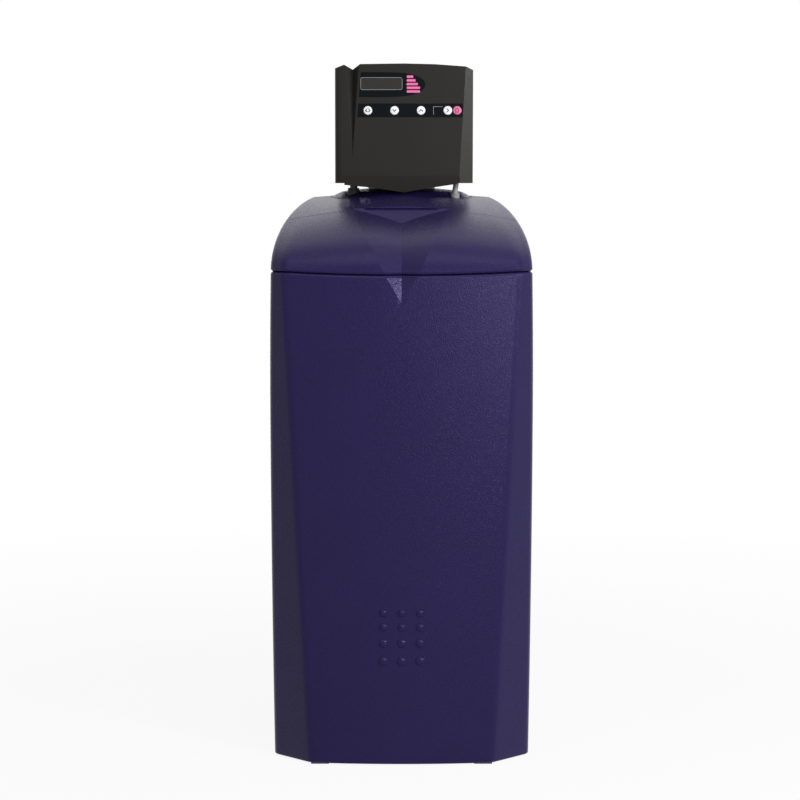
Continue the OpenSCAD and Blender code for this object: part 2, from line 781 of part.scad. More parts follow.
module bottom_strainer() color("white") {
    z0 = tank_z0 + tank_wall + 2;
    slot_h = strainer_top - z0 - 20;
    difference() {
        rod_z(0, tank_y, z0, strainer_top, strainer_r);
        rod_z(0, tank_y, strainer_top - riser_lap - seat, strainer_top + eps, riser_r + seat);
        rod_z(0, tank_y, z0 + 3, strainer_top - 5, riser_r - 3);
        slots(z0 + 6, slot_h, strainer_r, slot_w);
    }
}

module top_strainer() color("white") {
    r = neck_r - tank_wall - 2;
    z0 = neck_top - 36;
    difference() {
        rod_z(0, tank_y, z0, shelf_z, r);
        rod_z(0, tank_y, z0 - eps, shelf_z + eps, riser_r + seat);
        translate([0, tank_y, 0]) rotate_extrude()
            translate([riser_r + 2, z0 + 3]) square([r - riser_r - 4, shelf_z - z0]);
        slots(z0 + 6, 22, r, 0.8 * slot_w);
    }
}

// Upright slots through a strainer of radius r
module slots(z, h, r, w) {
    for (i = [0:5])
        translate([0, tank_y, z]) rotate(30 * i)
            translate([-r - eps, -w / 2, 0]) cube([2 * r + 2 * eps, w, h]);
}

module tank_o_ring() color("black")
    translate([0, tank_y, neck_top + o_ring_r]) rotate_extrude()
        translate([neck_r - o_ring_r - 0.4, 0]) circle(r = o_ring_r - 0.05);

// Control valve
module valve_body() color("dimgray") difference() {
    union() {
        rod_z(0, tank_y, skirt_z0, skirt_top, skirt_r);
        translate([-trunk_hw, flange_y, skirt_top - eps])
            cube([2 * trunk_hw, manifold_y + manifold_d - flange_y, axis_z - skirt_top]);
        rod_y(0, axis_z, flange_y, manifold_y + manifold_d, chamber_r);
        rod_y(0, axis_z, flange_y, flange_y + flange_t, flange_r);
        translate([-port_pitch / 2 - port_shoulder_r, manifold_y, port_z - port_shoulder_r])
            cube([port_pitch + 2 * port_shoulder_r, manifold_d, 2 * port_shoulder_r]);
        for (s = [-1, 1]) {
            rod_y(s * port_pitch / 2, port_z, manifold_y + eps, port_start_y, port_shoulder_r);
            rod_y(s * port_pitch / 2, port_z, port_start_y - eps, port_end_y, port_d / 2);
        }
        rod_x(stub_y, stub_z, drain_x + elbow_l, brine_x - elbow_l, stub_r);
        rod_x(injector_y, injector_z, injector_x, eps - trunk_hw, injector_r);
    }
    // Mouth for the vessel's neck
    rod_z(0, tank_y, skirt_z0 - eps, shelf_z, neck_r + seat);
    // Riser bore
    rod_z(0, tank_y, skirt_z0, shelf_z + 20, riser_r + seat);
    // Chamber of the discs
    rod_y(0, axis_z, flange_y - eps, flange_y + chamber_depth, disc_d / 2 + 2);
    for (s = [-1, 1])
        rod_y(s * port_pitch / 2, port_z, manifold_y + 6, port_end_y + eps, port_bore_d / 2);
    bolt_holes(flange_y - eps, flange_y + 14);
    rod_x(injector_y, injector_z, injector_x - eps, 4 - trunk_hw, injector_r / 2);
}

// Place on a circle round the valve's axis
function on_axis(r, t) = [r * cos(t), axis_z + r * sin(t)];

module bolt_holes(y0, y1) {
    for (t = bolt_turns) let (p = on_axis(bolt_r, t)) rod_y(p.x, p.y, y0, y1, screw_hole_r);
}

// Ports through a disc at the given turns
module disc_ports(turns, y0, y1) {
    for (t = turns) let (p = on_axis(disc_port_at * disc_d / 2, t)) rod_y(p.x, p.y, y0, y1, disc_port_r);
}

module fixed_disc() color("ivory") {
    y1 = flange_y + chamber_depth;
    difference() {
        rod_y(0, axis_z, y1 - disc_t, y1, disc_d / 2);
        disc_ports([0:60:300], y1 - disc_t - eps, y1 + eps);
    }
}

module moving_disc() color("lightgray") difference() {
    rod_y(0, axis_z, moving_y1 - disc_t, moving_y1, disc_d / 2);
    disc_ports([0, 60], moving_y1 - disc_t - eps, moving_y1 + eps);
}

module valve_shaft() color("silver") {
    rod_y(0, axis_z, gear_y - 2, moving_y1 - disc_t, shaft_d / 2);
    rod_y(0, axis_z, flange_y + eps, moving_y1 - disc_t, shaft_d);
}

module bonnet() color("dimgray") {
    y0 = flange_y - bonnet_t;
    difference() {
        union() {
            rod_y(0, axis_z, y0, flange_y, flange_r);
            // Posts that carry the drive plate
            for (t = bolt_turns)
                let (p = on_axis(bolt_r, t + 60)) rod_y(p.x, p.y, plate_y + plate_t, y0 + eps, post_r);
        }
        rod_y(0, axis_z, y0 - eps, flange_y + eps, shaft_d / 2 + running);
        bolt_holes(y0 - eps, flange_y + eps);
    }
}

module bonnet_screws() color("silver") {
    y0 = flange_y - bonnet_t;
    for (t = bolt_turns) let (p = on_axis(bolt_r, t)) {
        rod_y(p.x, p.y, y0 - screw_head_h, y0, screw_head_r);
        rod_y(p.x, p.y, y0 - eps, y0 + screw_l, screw_r);
    }
}

module drive_gear() color("white") {
    y1 = gear_y + gear_face;
    difference() {
        gear(0, axis_z, gear_y, gear_teeth, 0);
        rod_y(0, axis_z, gear_y - eps, y1 + eps, shaft_d / 2 + 0.02);
        for (t = [0:60:300])
            let (p = on_axis(gear_hole_at * gear_r, t))
                rod_y(p.x, p.y, gear_y - eps, y1 + eps, gear_hole_r);
    }
}

module motor_pinion() color("goldenrod") {
    turn = 180 - 180 / pinion_teeth * (1 + pinion_teeth % 2);
    gear(pinion_x, axis_z, gear_y, pinion_teeth, turn);
    rod_y(pinion_x, axis_z, plate_y - motor_shaft_l, gear_y + eps, motor_shaft_r);
}

module drive_plate() color("gray") {
    y1 = plate_y + plate_t;
    difference() {
        union() {
            rod_y(0, axis_z, plate_y, y1, plate_r);
            rod_y(pinion_x, axis_z, plate_y, y1, motor_r);
        }
        rod_y(pinion_x, axis_z, plate_y - eps, y1 + eps, motor_shaft_r + 1);
        rod_y(0, axis_z, plate_y - eps, y1 + eps, shaft_d / 2 + 1);
    }
}

module drive_motor() color("silver") difference() {
    union() {
        rod_y(pinion_x, axis_z, plate_y - motor_l, plate_y, motor_r);
        // Terminal block under the can
        translate([pinion_x - 8, plate_y - motor_l + 2, axis_z - motor_r - 5]) cube([16, 12, 10]);
    }
    rod_y(pinion_x, axis_z, plate_y - motor_shaft_l - 2, plate_y + eps, motor_shaft_r + running);
}

module injector_cap() color("black") {
    grip_h = 2 * injector_r - 4;
    rod_x(injector_y, injector_z, injector_x - injector_cap_t, injector_x, injector_r);
    rod_x(injector_y, injector_z, injector_x - eps, injector_x + 10, injector_r / 2 - seat);
    translate([injector_x - injector_cap_t - 3, injector_y - injector_grip / 2, injector_z - grip_h / 2])
        cube([injector_grip, injector_grip, grip_h]);
}

// Paddle wheel in the outlet, on an axle held by a spider
module flow_turbine() color("orange") {
    x = port_pitch / 2;
    difference() {
        union() {
            rod_y(x, port_z, turbine_y, turbine_y + turbine_l, hub_r);
            for (t = [0:60:300])
                translate([x, turbine_y + turbine_l / 2, port_z])
                    rotate([0, t, 0]) rotate([vane_pitch, 0, 0])
                    translate([hub_r - 1.2, -vane_l / 2, -vane_t / 2])
                        cube([port_bore_d / 2 - hub_r, vane_l, vane_t]);
        }
        rod_y(x, port_z, turbine_y - eps, turbine_y + turbine_l + eps, axle_r + running);
    }
}

module turbine_axle() color("silver") {
    x = port_pitch / 2;
    y0 = turbine_y - 5;
    rod_y(x, port_z, y0 - 1, turbine_y + turbine_l + 1, axle_r);
    rod_y(x, port_z, y0, y0 + spider_l, 2 * axle_r);
    for (t = [0:120:240])
        translate([x, y0, port_z]) rotate([0, t, 0])
            translate([0, 0, -spider_t / 2]) cube([port_bore_d / 2 - 0.1, spider_l, spider_t]);
}

// Elbow on a side stub of the valve, turned forward to its tube
module elbow(x, side, tube_r) {
    rod_x(stub_y, stub_z, min(x, x - side * elbow_l), max(x, x - side * elbow_l), elbow_r);
    translate([x, stub_y, stub_z]) sphere(r = elbow_r);
    difference() {
        rod_y(x, stub_z, mouth_y, stub_y, max(elbow_r - 1, tube_r + 2));
        rod_y(x, stub_z, mouth_y - eps, mouth_y + socket_l, tube_r + seat);
    }
}

module drain_elbow() color("black") elbow(drain_x, -1, drain_tube_d / 2);
module brine_elbow() color("whitesmoke") elbow(brine_x, 1, brine_tube_d / 2);

// Control head: outline of its front, about the head's middle
function head_outline() = [[-head_hw, head_z0], [-head_hw, head_top - 6.5],
    [rib_x, head_top - 1.7], [notch_x, head_top - 8],
    [panel_x, head_top - 0.8], [0, head_top],
    [0.45 * head_hw, head_top - 1], [bevel_top_x, head_top - 4],
    [head_hw, head_top - 8.5], [head_hw, head_z0]];

// Outline of the pointed lip under the front face
function lip_outline() = [[rib_x, head_z0 + eps], [rib_x, head_z0 - 2.4], [notch_x, head_z0 - 3.5],
    [-0.45 * head_hw, head_z0 - 0.5 * lip_drop], [0, head_z0 - lip_drop],
    [0.3 * head_hw, head_z0 - 0.6 * lip_drop],
    [bevel_foot_x - 2, head_z0 - 1], [bevel_foot_x - 2, head_z0 + eps]];

// Extrudes an upright outline along Y
module upright(y0, y1, x = head_x) {
    translate([x, y0, 0]) rotate([90, 0, 0]) mirror([0, 0, 1]) linear_extrude(y1 - y0) children();
}

// Plan of the front cover, with its left front corner rounded
module cover_plan() {
    left = head_x - head_hw;
    translate([left, head_y + rib_round]) square([head_w, cover_d - rib_round]);
    translate([left + rib_round, head_y]) square([head_w - rib_round, cover_d]);
    translate([left + rib_round, head_y + rib_round]) circle(r = rib_round);
}

module cover_solid() {
    tilt = atan((bevel_top_x - bevel_foot_x) / head_h);
    difference() {
        union() {
            intersection() {
                upright(head_y - eps, head_y + cover_d) polygon(head_outline());
                translate([0, 0, head_z0 - eps]) linear_extrude(head_h + 2 * eps) cover_plan();
            }
            upright(head_y, head_y + lip_t) polygon(lip_outline());
        }
        // Bevel down the right of the face
        translate([head_x + bevel_foot_x, head_y, head_z0]) rotate([0, tilt, 0]) rotate([0, 0, bevel_turn])
            translate([-head_w, -head_w, -head_h]) cube([2 * head_w, head_w, 3 * head_h]);
        // Chin that slopes back under the face
        translate([head_x - head_w, head_y, chin_z]) rotate([chin_slope, 0, 0])
            translate([0, -head_w, -head_h]) cube([2 * head_w, head_w, head_h]);
        notch_wedge();
    }
}

// Groove that tapers down beside the left rib
module notch_wedge() {
    x = head_x + notch_x;
    y = head_y;
    top = head_top + 5;
    tip = [[x - 0.2, y - 1, notch_foot], [x + 0.2, y - 1, notch_foot], [x, y, notch_foot]];
    mouth = [[head_x + rib_x + 1, y - 1, top], [head_x + panel_x, y - 1, top], [x, y + notch_deep, top]];
    loft([tip, mouth], [x, y - 0.6, notch_foot], [x, y, top]);
}

// Left edge of the overlays at a height
function overlay_edge(z) = overlay_top_x - overlay_lean * (head_top - 12 - z);

// Bullet outline of the display window, from its left edge to the nose
module window_outline(grow = 0) {
    h = window_h / 2 + grow;
    low = window_mid_z - h;
    high = window_mid_z + h;
    nose = window_x + window_w + grow;
    start = window_x + 0.42 * window_w;
    bow = [for (i = [0:10]) let (t = 90 - 18 * i)
        [start + (nose - start) * pow(cos(t), 0.75), window_mid_z + h * sin(t)]];
    left = [[overlay_edge(low) - grow, low], [overlay_edge(high) - grow, high]];
    polygon(concat(left, bow));
}

module strip_outline(grow = 0) {
    low = strip_mid_z - strip_h / 2 - grow;
    high = low + strip_h + 2 * grow;
    right = strip_x + strip_w + grow;
    polygon([[overlay_edge(low) - grow, low], [right, low],
        [right, high], [overlay_edge(high) - grow, high]]);
}

// Outline of the readout, grown sideways and upright
module readout_outline(dx, dz) {
    translate([readout_x - readout_w / 2 - dx, readout_z - readout_h / 2 - dz])
        square([readout_w + 2 * dx, readout_h + 2 * dz]);
}

// Hollow of the front cover between two sides, from a depth and a height up to the ceiling
module cover_hollow(x0, x1, y, z) {
    translate([head_x + x0, y, z]) cube([x1 - x0, cover_d, cover_ceiling - z]);
}

module front_cover() color(CHARCOAL) {
    back = head_y + head_wall;
    difference() {
        cover_solid();
        // Narrow behind the face, wide behind the rib and the bevel
        cover_hollow(hollow_x0, bevel_foot_x - 2, back, cover_sill);
        cover_hollow(hollow_x0, hollow_x1, back, board_z0 - 2);
        cover_hollow(head_wall - head_hw, head_hw - head_wall, cover_deep_y, cover_sill);
        upright(head_y - eps, head_y + overlay_recess) window_outline(seat);
        upright(head_y - eps, head_y + overlay_recess) strip_outline(seat);
        upright(head_y - eps, back + eps) readout_outline(0, 0);
        for (x = key_xs) rod_y(head_x + x, strip_mid_z, head_y - eps, back + eps, key_hole_r);
        neck_cut();
        tube_cut(brine_x, brine_hole, brine_tube_d);
        tube_cut(drain_x, drain_hole, drain_tube_d);
    }
    // Bosses that carry the control board
    for (x = [board_x0 + boss_in, board_x1 - boss_in], z = boss_zs)
        rod_y(x, z, back - eps, board_y, boss_r);
}

// Way for the valve's neck through the head's floor
module neck_cut() {
    rod_z(0, tank_y, head_z0 - lip_drop, head_z0 + 2 * head_wall, skirt_r + 2);
}

// Way for a tube through the head's floor, long because the tube leans
module tube_cut(x, hole, d) {
    for (t = [0, 0.5, 1])
        rod_z(mix(hole.x, x, t), hole.y + 12 * t, head_z0 - eps, head_z0 + 2 * head_wall, d / 2 + 5);
}

module rear_housing() color(CHARCOAL) {
    y0 = head_y + cover_d + seat;
    y1 = head_rear_y;
    through = y1 - head_wall - eps;
    difference() {
        rear_block(y0, y1, 0);
        rear_block(y0 - eps, y1 - head_wall, head_wall);
        for (s = [-1, 1])
            rod_y(s * port_pitch / 2, port_z, through, y1 + eps, port_shoulder_r + seat);
        for (p = screw_places()) rod_y(p.x, p.y, through, y1 + eps, screw_hole_r);
        rod_y(inlet_x, inlet_z, through, y1 + eps, inlet_r + seat);
        neck_cut();
    }
}

// Rear housing's block o inside its outer face, with a roof that slopes down to the rear
module rear_block(y0, y1, o) {
    w = 2 * (head_hw - housing_inset - o);
    z0 = head_z0 + o;
    z1 = housing_top - o;
    intersection() {
        translate([head_x, 0, 0]) rotate([90, 0, 90]) linear_extrude(w, center = true)
            polygon([[y0, z0], [y1, z0], [y1, z1 - housing_top_drop], [mix(y0, y1, 0.25), z1], [y0, z1]]);
        upright(y0 - 1, y1 + 1) round_rect(w, z0, z1, housing_round - o / 2);
    }
}

module round_rect(w, z0, z1, r) {
    translate([-w / 2 + r, z0]) square([w - 2 * r, z1 - z0]);
    translate([-w / 2, z0 + r]) square([w, z1 - z0 - 2 * r]);
    for (s = [-1, 1], z = [z0 + r, z1 - r]) translate([s * (w / 2 - r), z]) circle(r = r);
}

screw_zs = [head_z0 + screw_in, housing_top - housing_top_drop - screw_in];
function screw_places() = [for (s = [-1, 1], z = screw_zs)
    [head_x + s * (head_hw - housing_inset - screw_in), z]];

module housing_screws() color("silver")
    for (p = screw_places()) {
        rod_y(p.x, p.y, head_rear_y, head_rear_y + 0.6 * screw_head_h, 0.9 * screw_head_r);
        rod_y(p.x, p.y, head_rear_y - 0.6 * screw_l, head_rear_y + eps, screw_r);
    }

module display_window() color(OVERLAY_BLACK)
    upright(overlay_y, overlay_y + overlay_t) window_outline();

module lcd_module() color("darkslategray") {
    back = head_y + head_wall;
    upright(overlay_y + overlay_t + seat, back + eps) readout_outline(-seat, -seat);
    upright(back + seat, board_y) readout_outline(1, 4);
}

module keypad_strip() color(OVERLAY_BLACK) difference() {
    upright(overlay_y, overlay_y + overlay_t) strip_outline();
    for (x = key_xs) rod_y(head_x + x, strip_mid_z, head_y - 1, head_y + head_wall, key_hole_r);
}

// One key: domed cap, flange behind the cover and stem to the switch
module key(i) {
    y0 = overlay_y - key_proud;
    neck = head_y + head_wall + key_flange_gap - y0;
    root = neck + key_flange_t;
    end = key_stem_end - y0;
    r = key_d / 2;
    cap = [[0, 0], [0.6 * r, 0.1], [0.9 * r, 0.35], [r, 0.8]];
    flange = [[r, neck], [key_flange_r, neck], [key_flange_r, root]];
    stem = [[key_stem_r, root], [key_stem_r, end], [0, end]];
    translate([head_x + key_xs[i], y0, strip_mid_z]) rotate([-90, 0, 0])
        rotate_extrude() polygon(concat(cap, flange, stem));
}

module key_1() color("white") key(0);
module key_2() color("white") key(1);
module key_3() color("white") key(2);
module key_4() color("white") key(3);
module key_5() color(PINK) key(4);

module control_board() color("darkgreen") {
    translate([board_x0, board_y, board_z0]) cube([board_x1 - board_x0, board_t, board_h]);
    // Switches under the keys and the chip at the rear
    for (x = key_xs)
        translate([head_x + x - switch_w / 2, board_y - switch_t, strip_mid_z - switch_w / 2])
            cube([switch_w, switch_t + eps, switch_w]);
    translate([head_x - 20, board_y + board_t - eps, board_z0 + 20]) cube([chip_w, chip_t + eps, chip_w]);
}

// Socket for the low voltage plug
module power_inlet() color("black") {
    y1 = head_rear_y;
    difference() {
        union() {
            rod_y(inlet_x, inlet_z, y1 - inlet_l, y1 + 1, inlet_r);
            rod_y(inlet_x, inlet_z, y1, y1 + inlet_rim, inlet_r + inlet_rim);
        }
        rod_y(inlet_x, inlet_z, y1 - jack_l, y1 + inlet_rim + eps, jack_r);
    }
    rod_y(inlet_x, inlet_z, y1 - jack_l - eps, y1 - 1, jack_pin_r);
}

// Route of a tube from its elbow forward and down through the collar at height z
function neck_route(x, hole, z) = [[x, mouth_y + 5, stub_z],
    [x, mouth_y - 2, stub_z],
    [x, mouth_y - 8, stub_z],
    [mix(x, hole.x, 0.05), mix(mouth_y - 8, hole.y, 0.5), stub_z - 4],
    [mix(x, hole.x, 0.25), hole.y + 5, stub_z - 14],
    [mix(x, hole.x, 0.65), hole.y + 1, z + 15],
    [mix(x, hole.x, 0.97), hole.y, z + 8],
    [hole.x, hole.y, z - 8],
    [hole.x, hole.y, z - 14]];

brine_route = concat(neck_route(brine_x, brine_hole, brine_hole_z),
    [[brine_hole.x + 10, brine_hole.y - 22, brine_hole_z - 40],
        [mix(brine_hole.x, well_x, 0.7), mix(brine_hole.y, well_y, 0.7), well_top + 50],
        [well_x, well_y + 6, well_top + 32],
        [well_x, well_y, well_top + 16],
        [well_x, well_y, well_top + well_cap_t - 2]]);
module brine_tube() color("silver") tube(curve(brine_route, 3), brine_tube_d / 2);

drain_route = concat(neck_route(drain_x, drain_hole, drain_hole_z),
    [[drain_hole.x - 18, drain_hole.y, drain_hole_z - 38],
        [-side_x + 14, drain_hole.y + 8, rim_h + 20],
        [-side_x, tank_y - 10, rim_h - 10],
        [-side_x, tank_y + 45, rim_h - 42],
        [-tail_x - 2, rear_y - 48, tail_z + 4],
        [-tail_x, rear_y - 34, tail_z],
        [-tail_x, rear_y - tail_shank_l - wall, tail_z]]);
module drain_tube() color("black") tube(curve(drain_route, 3), drain_tube_d / 2);

// Grommet where a tube passes the collar
module grommet(hole, z, tube_d) {
    translate([hole.x, hole.y, z - grommet_h / 2]) difference() {
        cylinder(r = tube_d / 2 + grommet_wall, h = grommet_h);
        translate([0, 0, -eps]) cylinder(r = tube_d / 2 + grommet_clear, h = grommet_h + 2 * eps);
    }
}
module brine_grommet() color("gainsboro") grommet(brine_hole, brine_hole_z, brine_tube_d);
module drain_grommet() color("black") grommet(drain_hole, drain_hole_z, drain_tube_d);

// Brine well with its float
module brine_well() color("white") difference() {
    rod_z(well_x, well_y, floor_z, well_top, well_d / 2);
    rod_z(well_x, well_y, floor_z - eps, well_top + eps, well_d / 2 - well_wall);
    for (i = [0:3])
        translate([well_x, well_y, floor_z + 8]) rotate(45 * i)
            translate([-well_d, -well_slot_w / 2, 0]) cube([2 * well_d, well_slot_w, well_slot_h]);
}

module brine_well_cap() color("white") difference() {
    skirt = well_d / 2 - well_wall - seat;
    union() {
        rod_z(well_x, well_y, well_top, well_top + well_cap_t, well_d / 2 + well_wall);
        rod_z(well_x, well_y, well_top - cap_skirt_l, well_top + eps, skirt);
    }
    rod_z(well_x, well_y, well_top - cap_skirt_l - eps, valve_top, skirt - well_wall);
    rod_z(well_x, well_y, valve_top - 1, well_top + well_cap_t + eps, brine_tube_d / 2 + seat);
}

module brine_valve() color("lightgray") {
    rod_z(well_x, well_y, floor_z, floor_z + valve_foot_h, valve_foot_r);
    rod_z(well_x, well_y, floor_z + 10, valve_top - valve_head_h + eps, pickup_r);
    rod_z(well_x, well_y, valve_top - valve_head_h, valve_top, valve_head_r);
    for (z = [float_z - stop_t - stop_gap, float_z + float_h + float_travel + stop_gap])
        rod_z(well_x, well_y, z, z + stop_t, stop_r);
}

module brine_float() color("orange") difference() {
    rod_z(well_x, well_y, float_z, float_z + float_h, float_d / 2);
    rod_z(well_x, well_y, float_z - eps, float_z + float_h + eps, pickup_r + 0.4);
}

// True where the salt grid has room for a hole
function grid_free(p) = norm(p - [0, tank_y]) > tank_r + 20 && norm(p - [well_x, well_y]) > well_d / 2 + 12;

// Perforated platform that holds the salt off the floor
module salt_grid() color("lightgray") {
    leg_x = panel_foot_w / 2 - 20;
    difference() {
        translate([0, 0, grid_h]) linear_extrude(grid_t) difference() {
            polygon([for (p = cabinet_ring(grid_h, wall + grid_gap)) [p.x, p.y]]);
            translate([0, tank_y]) circle(r = tank_r + boot_wall + 4);
            translate([well_x, well_y]) circle(r = well_d / 2 + 2);
            translate([-cabinet_w, tank_y]) square([2 * cabinet_w, cabinet_d]);
        }
        for (i = [-4:4], j = [0:5]) let (p = [i * grid_pitch, front_y + 32 + j * grid_pitch])
            if (grid_free(p)) rod_z(p.x, p.y, grid_h - eps, grid_h + grid_t + eps, grid_hole_r);
    }
    for (p = [[-leg_x, 34], [leg_x, 34], [-leg_x, 160], [0, 175]])
        rod_z(p.x, front_y + p.y, floor_z, grid_h + eps, grid_leg_r);
}

// Hose fitting through the rear wall
module tail_fitting(x) {
    inner_y = rear_y - wall - tail_shank_l;
    difference() {
        union() {
            rod_y(x, tail_z, inner_y, rear_y + eps, tail_shank_r);
            rod_y(x, tail_z, rear_y, rear_y + tail_flange_t, tail_flange_r);
            rod_y(x, tail_z, rear_y, rear_y + tail_reach, tail_d / 2);
        }
        rod_y(x, tail_z, inner_y - eps, rear_y + tail_reach + eps, tail_bore_r);
    }
}

module tail_nut(x) nut_y(x, tail_z, rear_y - wall - nut_t, nut_t, nut_r, tail_shank_r + seat);

module overflow_fitting() color("gray") tail_fitting(tail_x);
module overflow_nut() color("gray") tail_nut(tail_x);
module drain_outlet() color("gray") tail_fitting(-tail_x);
module drain_nut() color("gray") tail_nut(-tail_x);

cabinet_shell();
feet();
salt_lid();
rear_cover();
resin_tank();
tank_boot();
resin_bed();
riser_tube();
bottom_strainer();
top_strainer();
tank_o_ring();
valve_body();
fixed_disc();
moving_disc();
valve_shaft();
bonnet();
bonnet_screws();
drive_gear();
motor_pinion();
drive_motor();
drive_plate();
injector_cap();
flow_turbine();
turbine_axle();
drain_elbow();
brine_elbow();
front_cover();
rear_housing();
housing_screws();
display_window();
lcd_module();
keypad_strip();
key_1();
key_2();
key_3();
key_4();
key_5();
control_board();
power_inlet();
brine_tube();
drain_tube();
brine_grommet();
drain_grommet();
brine_well();
brine_well_cap();
brine_valve();
brine_float();
salt_grid();
overflow_fitting();
overflow_nut();
drain_outlet();
drain_nut();
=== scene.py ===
"""Looks of the cabinet water softener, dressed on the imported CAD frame."""
import math

import bmesh
import bpy
from mathutils import Matrix, Vector


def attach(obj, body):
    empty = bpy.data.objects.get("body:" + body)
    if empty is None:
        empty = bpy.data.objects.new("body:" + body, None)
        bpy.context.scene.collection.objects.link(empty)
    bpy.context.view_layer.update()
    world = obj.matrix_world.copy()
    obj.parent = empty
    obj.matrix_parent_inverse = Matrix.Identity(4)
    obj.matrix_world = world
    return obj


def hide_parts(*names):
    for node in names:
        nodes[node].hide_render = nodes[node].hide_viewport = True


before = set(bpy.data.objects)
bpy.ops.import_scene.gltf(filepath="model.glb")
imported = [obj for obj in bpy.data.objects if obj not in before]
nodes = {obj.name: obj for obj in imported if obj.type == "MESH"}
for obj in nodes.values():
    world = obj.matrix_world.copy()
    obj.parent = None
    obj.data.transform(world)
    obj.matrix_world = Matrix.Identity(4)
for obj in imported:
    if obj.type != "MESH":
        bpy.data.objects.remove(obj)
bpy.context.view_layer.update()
scene = bpy.context.scene

# Millimetres to metres
MM = 0.001

# Sizes of the cabinet in millimetres, as in the part's source
CABINET_W = 335.0
FRONT_Y = -245.0
REAR_Y = 220.0
RIM_H = 630.0
WALL = 4.0
PANEL_TOP_W = 298.0
PANEL_FOOT_W = 232.0
PANEL_BOW = 8.0
BELLY_H = 440.0
FOOT_DRAW = 2.8
RIM_DRAW = 2.0
REAR_CORNER_R = 30.0
EDGE_SOFT = 6.0
EDGE_R = 2.5
SEAM_R = 3.6
RIM_DIP = 4.0
FOOT_H = 2.0
VALLEY_TIP = RIM_H - 41.0
VALLEY_SPREAD = 0.517
VALLEY_SLOPE = 0.2
VALLEY_LEAST = 3.0
# Most share of the panel's half width that the valley takes, and how it deepens up the lid
VALLEY_MOST = 0.85
VALLEY_DEEPEN = 2.5
# Share of the flat panel at which the valley's edge stops short of the chamfer
PANEL_SHARE = 0.9
TAIL_X = 113.5
TAIL_Z = 560.0
TAIL_HOLE_R = 10.7
TAN_EIGHTH = math.tan(math.radians(22.5))

# Bumps on the front panel
BUMP_COLUMNS = 3
BUMP_ROWS = 4
BUMP_PITCH_X = 23.2
BUMP_PITCH_Z = 18.2
BUMP_PITCH_GAIN = 2.4
BUMP_TOP_H = 198.0
BUMP_D = 9.2
BUMP_GAIN = 0.6
BUMP_RISE = 2.4
# Fillet at a bump's root: shares of its radius and of its rise
BUMP_ROOT = [(1.1, -0.06), (1.04, 0.06)]
BUMP_SHOULDER = 0.14
BUMP_SIDES = 32

# Covers
DOME_H = 93.0
DOME_SIDE = 58.0
DOME_FRONT = 270.0
DOME_REAR = 40.0
DOME_CROWN = 6.0
DOME_LAST = 75.0
DOME_STEPS = 40
DOME_EASE = 0.85
# How the panel narrows and bows up the dome, and how its edges and rear corners soften
DOME_PANEL_DRAW = 1.55
DOME_BOW = 0.485
DOME_EDGE_GAIN = 12.0
DOME_CORNER_GAIN = 20.0
DIP_FADE = 3.0
# Share of the way to the crown's tip at which its rings end
CROWN_SHARE = 0.96
COVER_Z = RIM_H + 0.2
LID_Z = RIM_H + 0.3
SEAM_Y = FRONT_Y + 135.0
LID_GAP = 2.0
WALL_Y = SEAM_Y + LID_GAP / 2
SEAM_Z = COVER_Z + DOME_H * math.sin(math.acos(1 - (SEAM_Y - FRONT_Y - RIM_DRAW) / DOME_FRONT))
RECESS_W = 124.0
RECESS_D = 41.0
RECESS_TOP = SEAM_Z - 4.5
RECESS_SLOPE = 0.9
RAMP_RUN = RECESS_D + 6.0
RAMP_T = 5.6
BULKHEAD_FOOT = SEAM_Z - 32.0
RECESS_LIP = 3.0
LIP_T = 2.4
NOTCH_PAST = 5.0
BULKHEAD_TIP_Y = 72.7
SKY_Z = RIM_H + 2 * DOME_H
TANK_Y = 103.0
COLLAR_R = 98.0
COLLAR_RISE = 9.0
COLLAR_SKIRT = 42.0
COLLAR_MOUTH_R = 49.2
COLLAR_SEAT = 0.6
COLLAR_LIP = 3.0
COLLAR_LIP_T = 2.5
COLLAR_STEP = 4.0
# Collar's upper line: share of the way out and drop below its top, then its knee
COLLAR_CREST = [(0.0, 0.0), (0.5, 2.5), (0.7, 4.5)]
COLLAR_KNEE = (0.86, 0.7)
COLLAR_INNER = (0.6, 3.5)

# Control head
HEAD_X = 3.4
HEAD_TOP = 900.0
OVERLAY_Y = -0.2
KEY_Y = -1.1
KEY_XS = [-48.6, -12.8, 22.9, 58.8, 71.5]
STRIP_Z = HEAD_TOP - 62.6
READOUT_X = HEAD_X - 30.3
READOUT_Z = HEAD_TOP - 26.9
READOUT_W = 55.0
READOUT_H = 15.5
READOUT_R = 2.0
READOUT_LINE = 0.6
BAR_LEFT = HEAD_X + 3.6
BAR_FIRST_Z = READOUT_Z - 10.4
BAR_PITCH = 4.9
BAR_H = 3.2
BAR_R = 1.0
BAR_LENGTHS = (18.0, 18.0, 15.0, 12.0, 9.0)
BRACKET_XS = (HEAD_X + 39.3, HEAD_X + 51.9)
BRACKET_ZS = (STRIP_Z - 5.6, STRIP_Z + 5.4)
BRACKET_LINE = 0.6
ARROW_SHIFT = 1.9
RING_RADII = (2.7, 1.8)

# Rounding of edges on CAD pieces, and the angle in degrees above which an edge shades hard
HEAD_EDGE = 0.9
SMALL_EDGE = 0.5
WELD_GAP = 1e-6
SHARP_ANGLE = 18.0

# Grain of the plastics: noise levels that make its range, broad stains per metre, bump height in metres
NOISE_LOW = 0.3
NOISE_HIGH = 0.7
STAIN_SCALE = 14.0
STAIN_DETAIL = 3.0
GRAIN_DETAIL = 2.0
GRAIN_HEIGHT = 0.0004
LEAST_ROUGH = 0.02

# Studio: floor radius in metres, its grey, share of plain white in what is seen of it, and room light
FLOOR_R = 2.2
FLOOR_GREY = 0.7
FLOOR_GLOW = 0.92
ROOM_LIGHT = 0.13
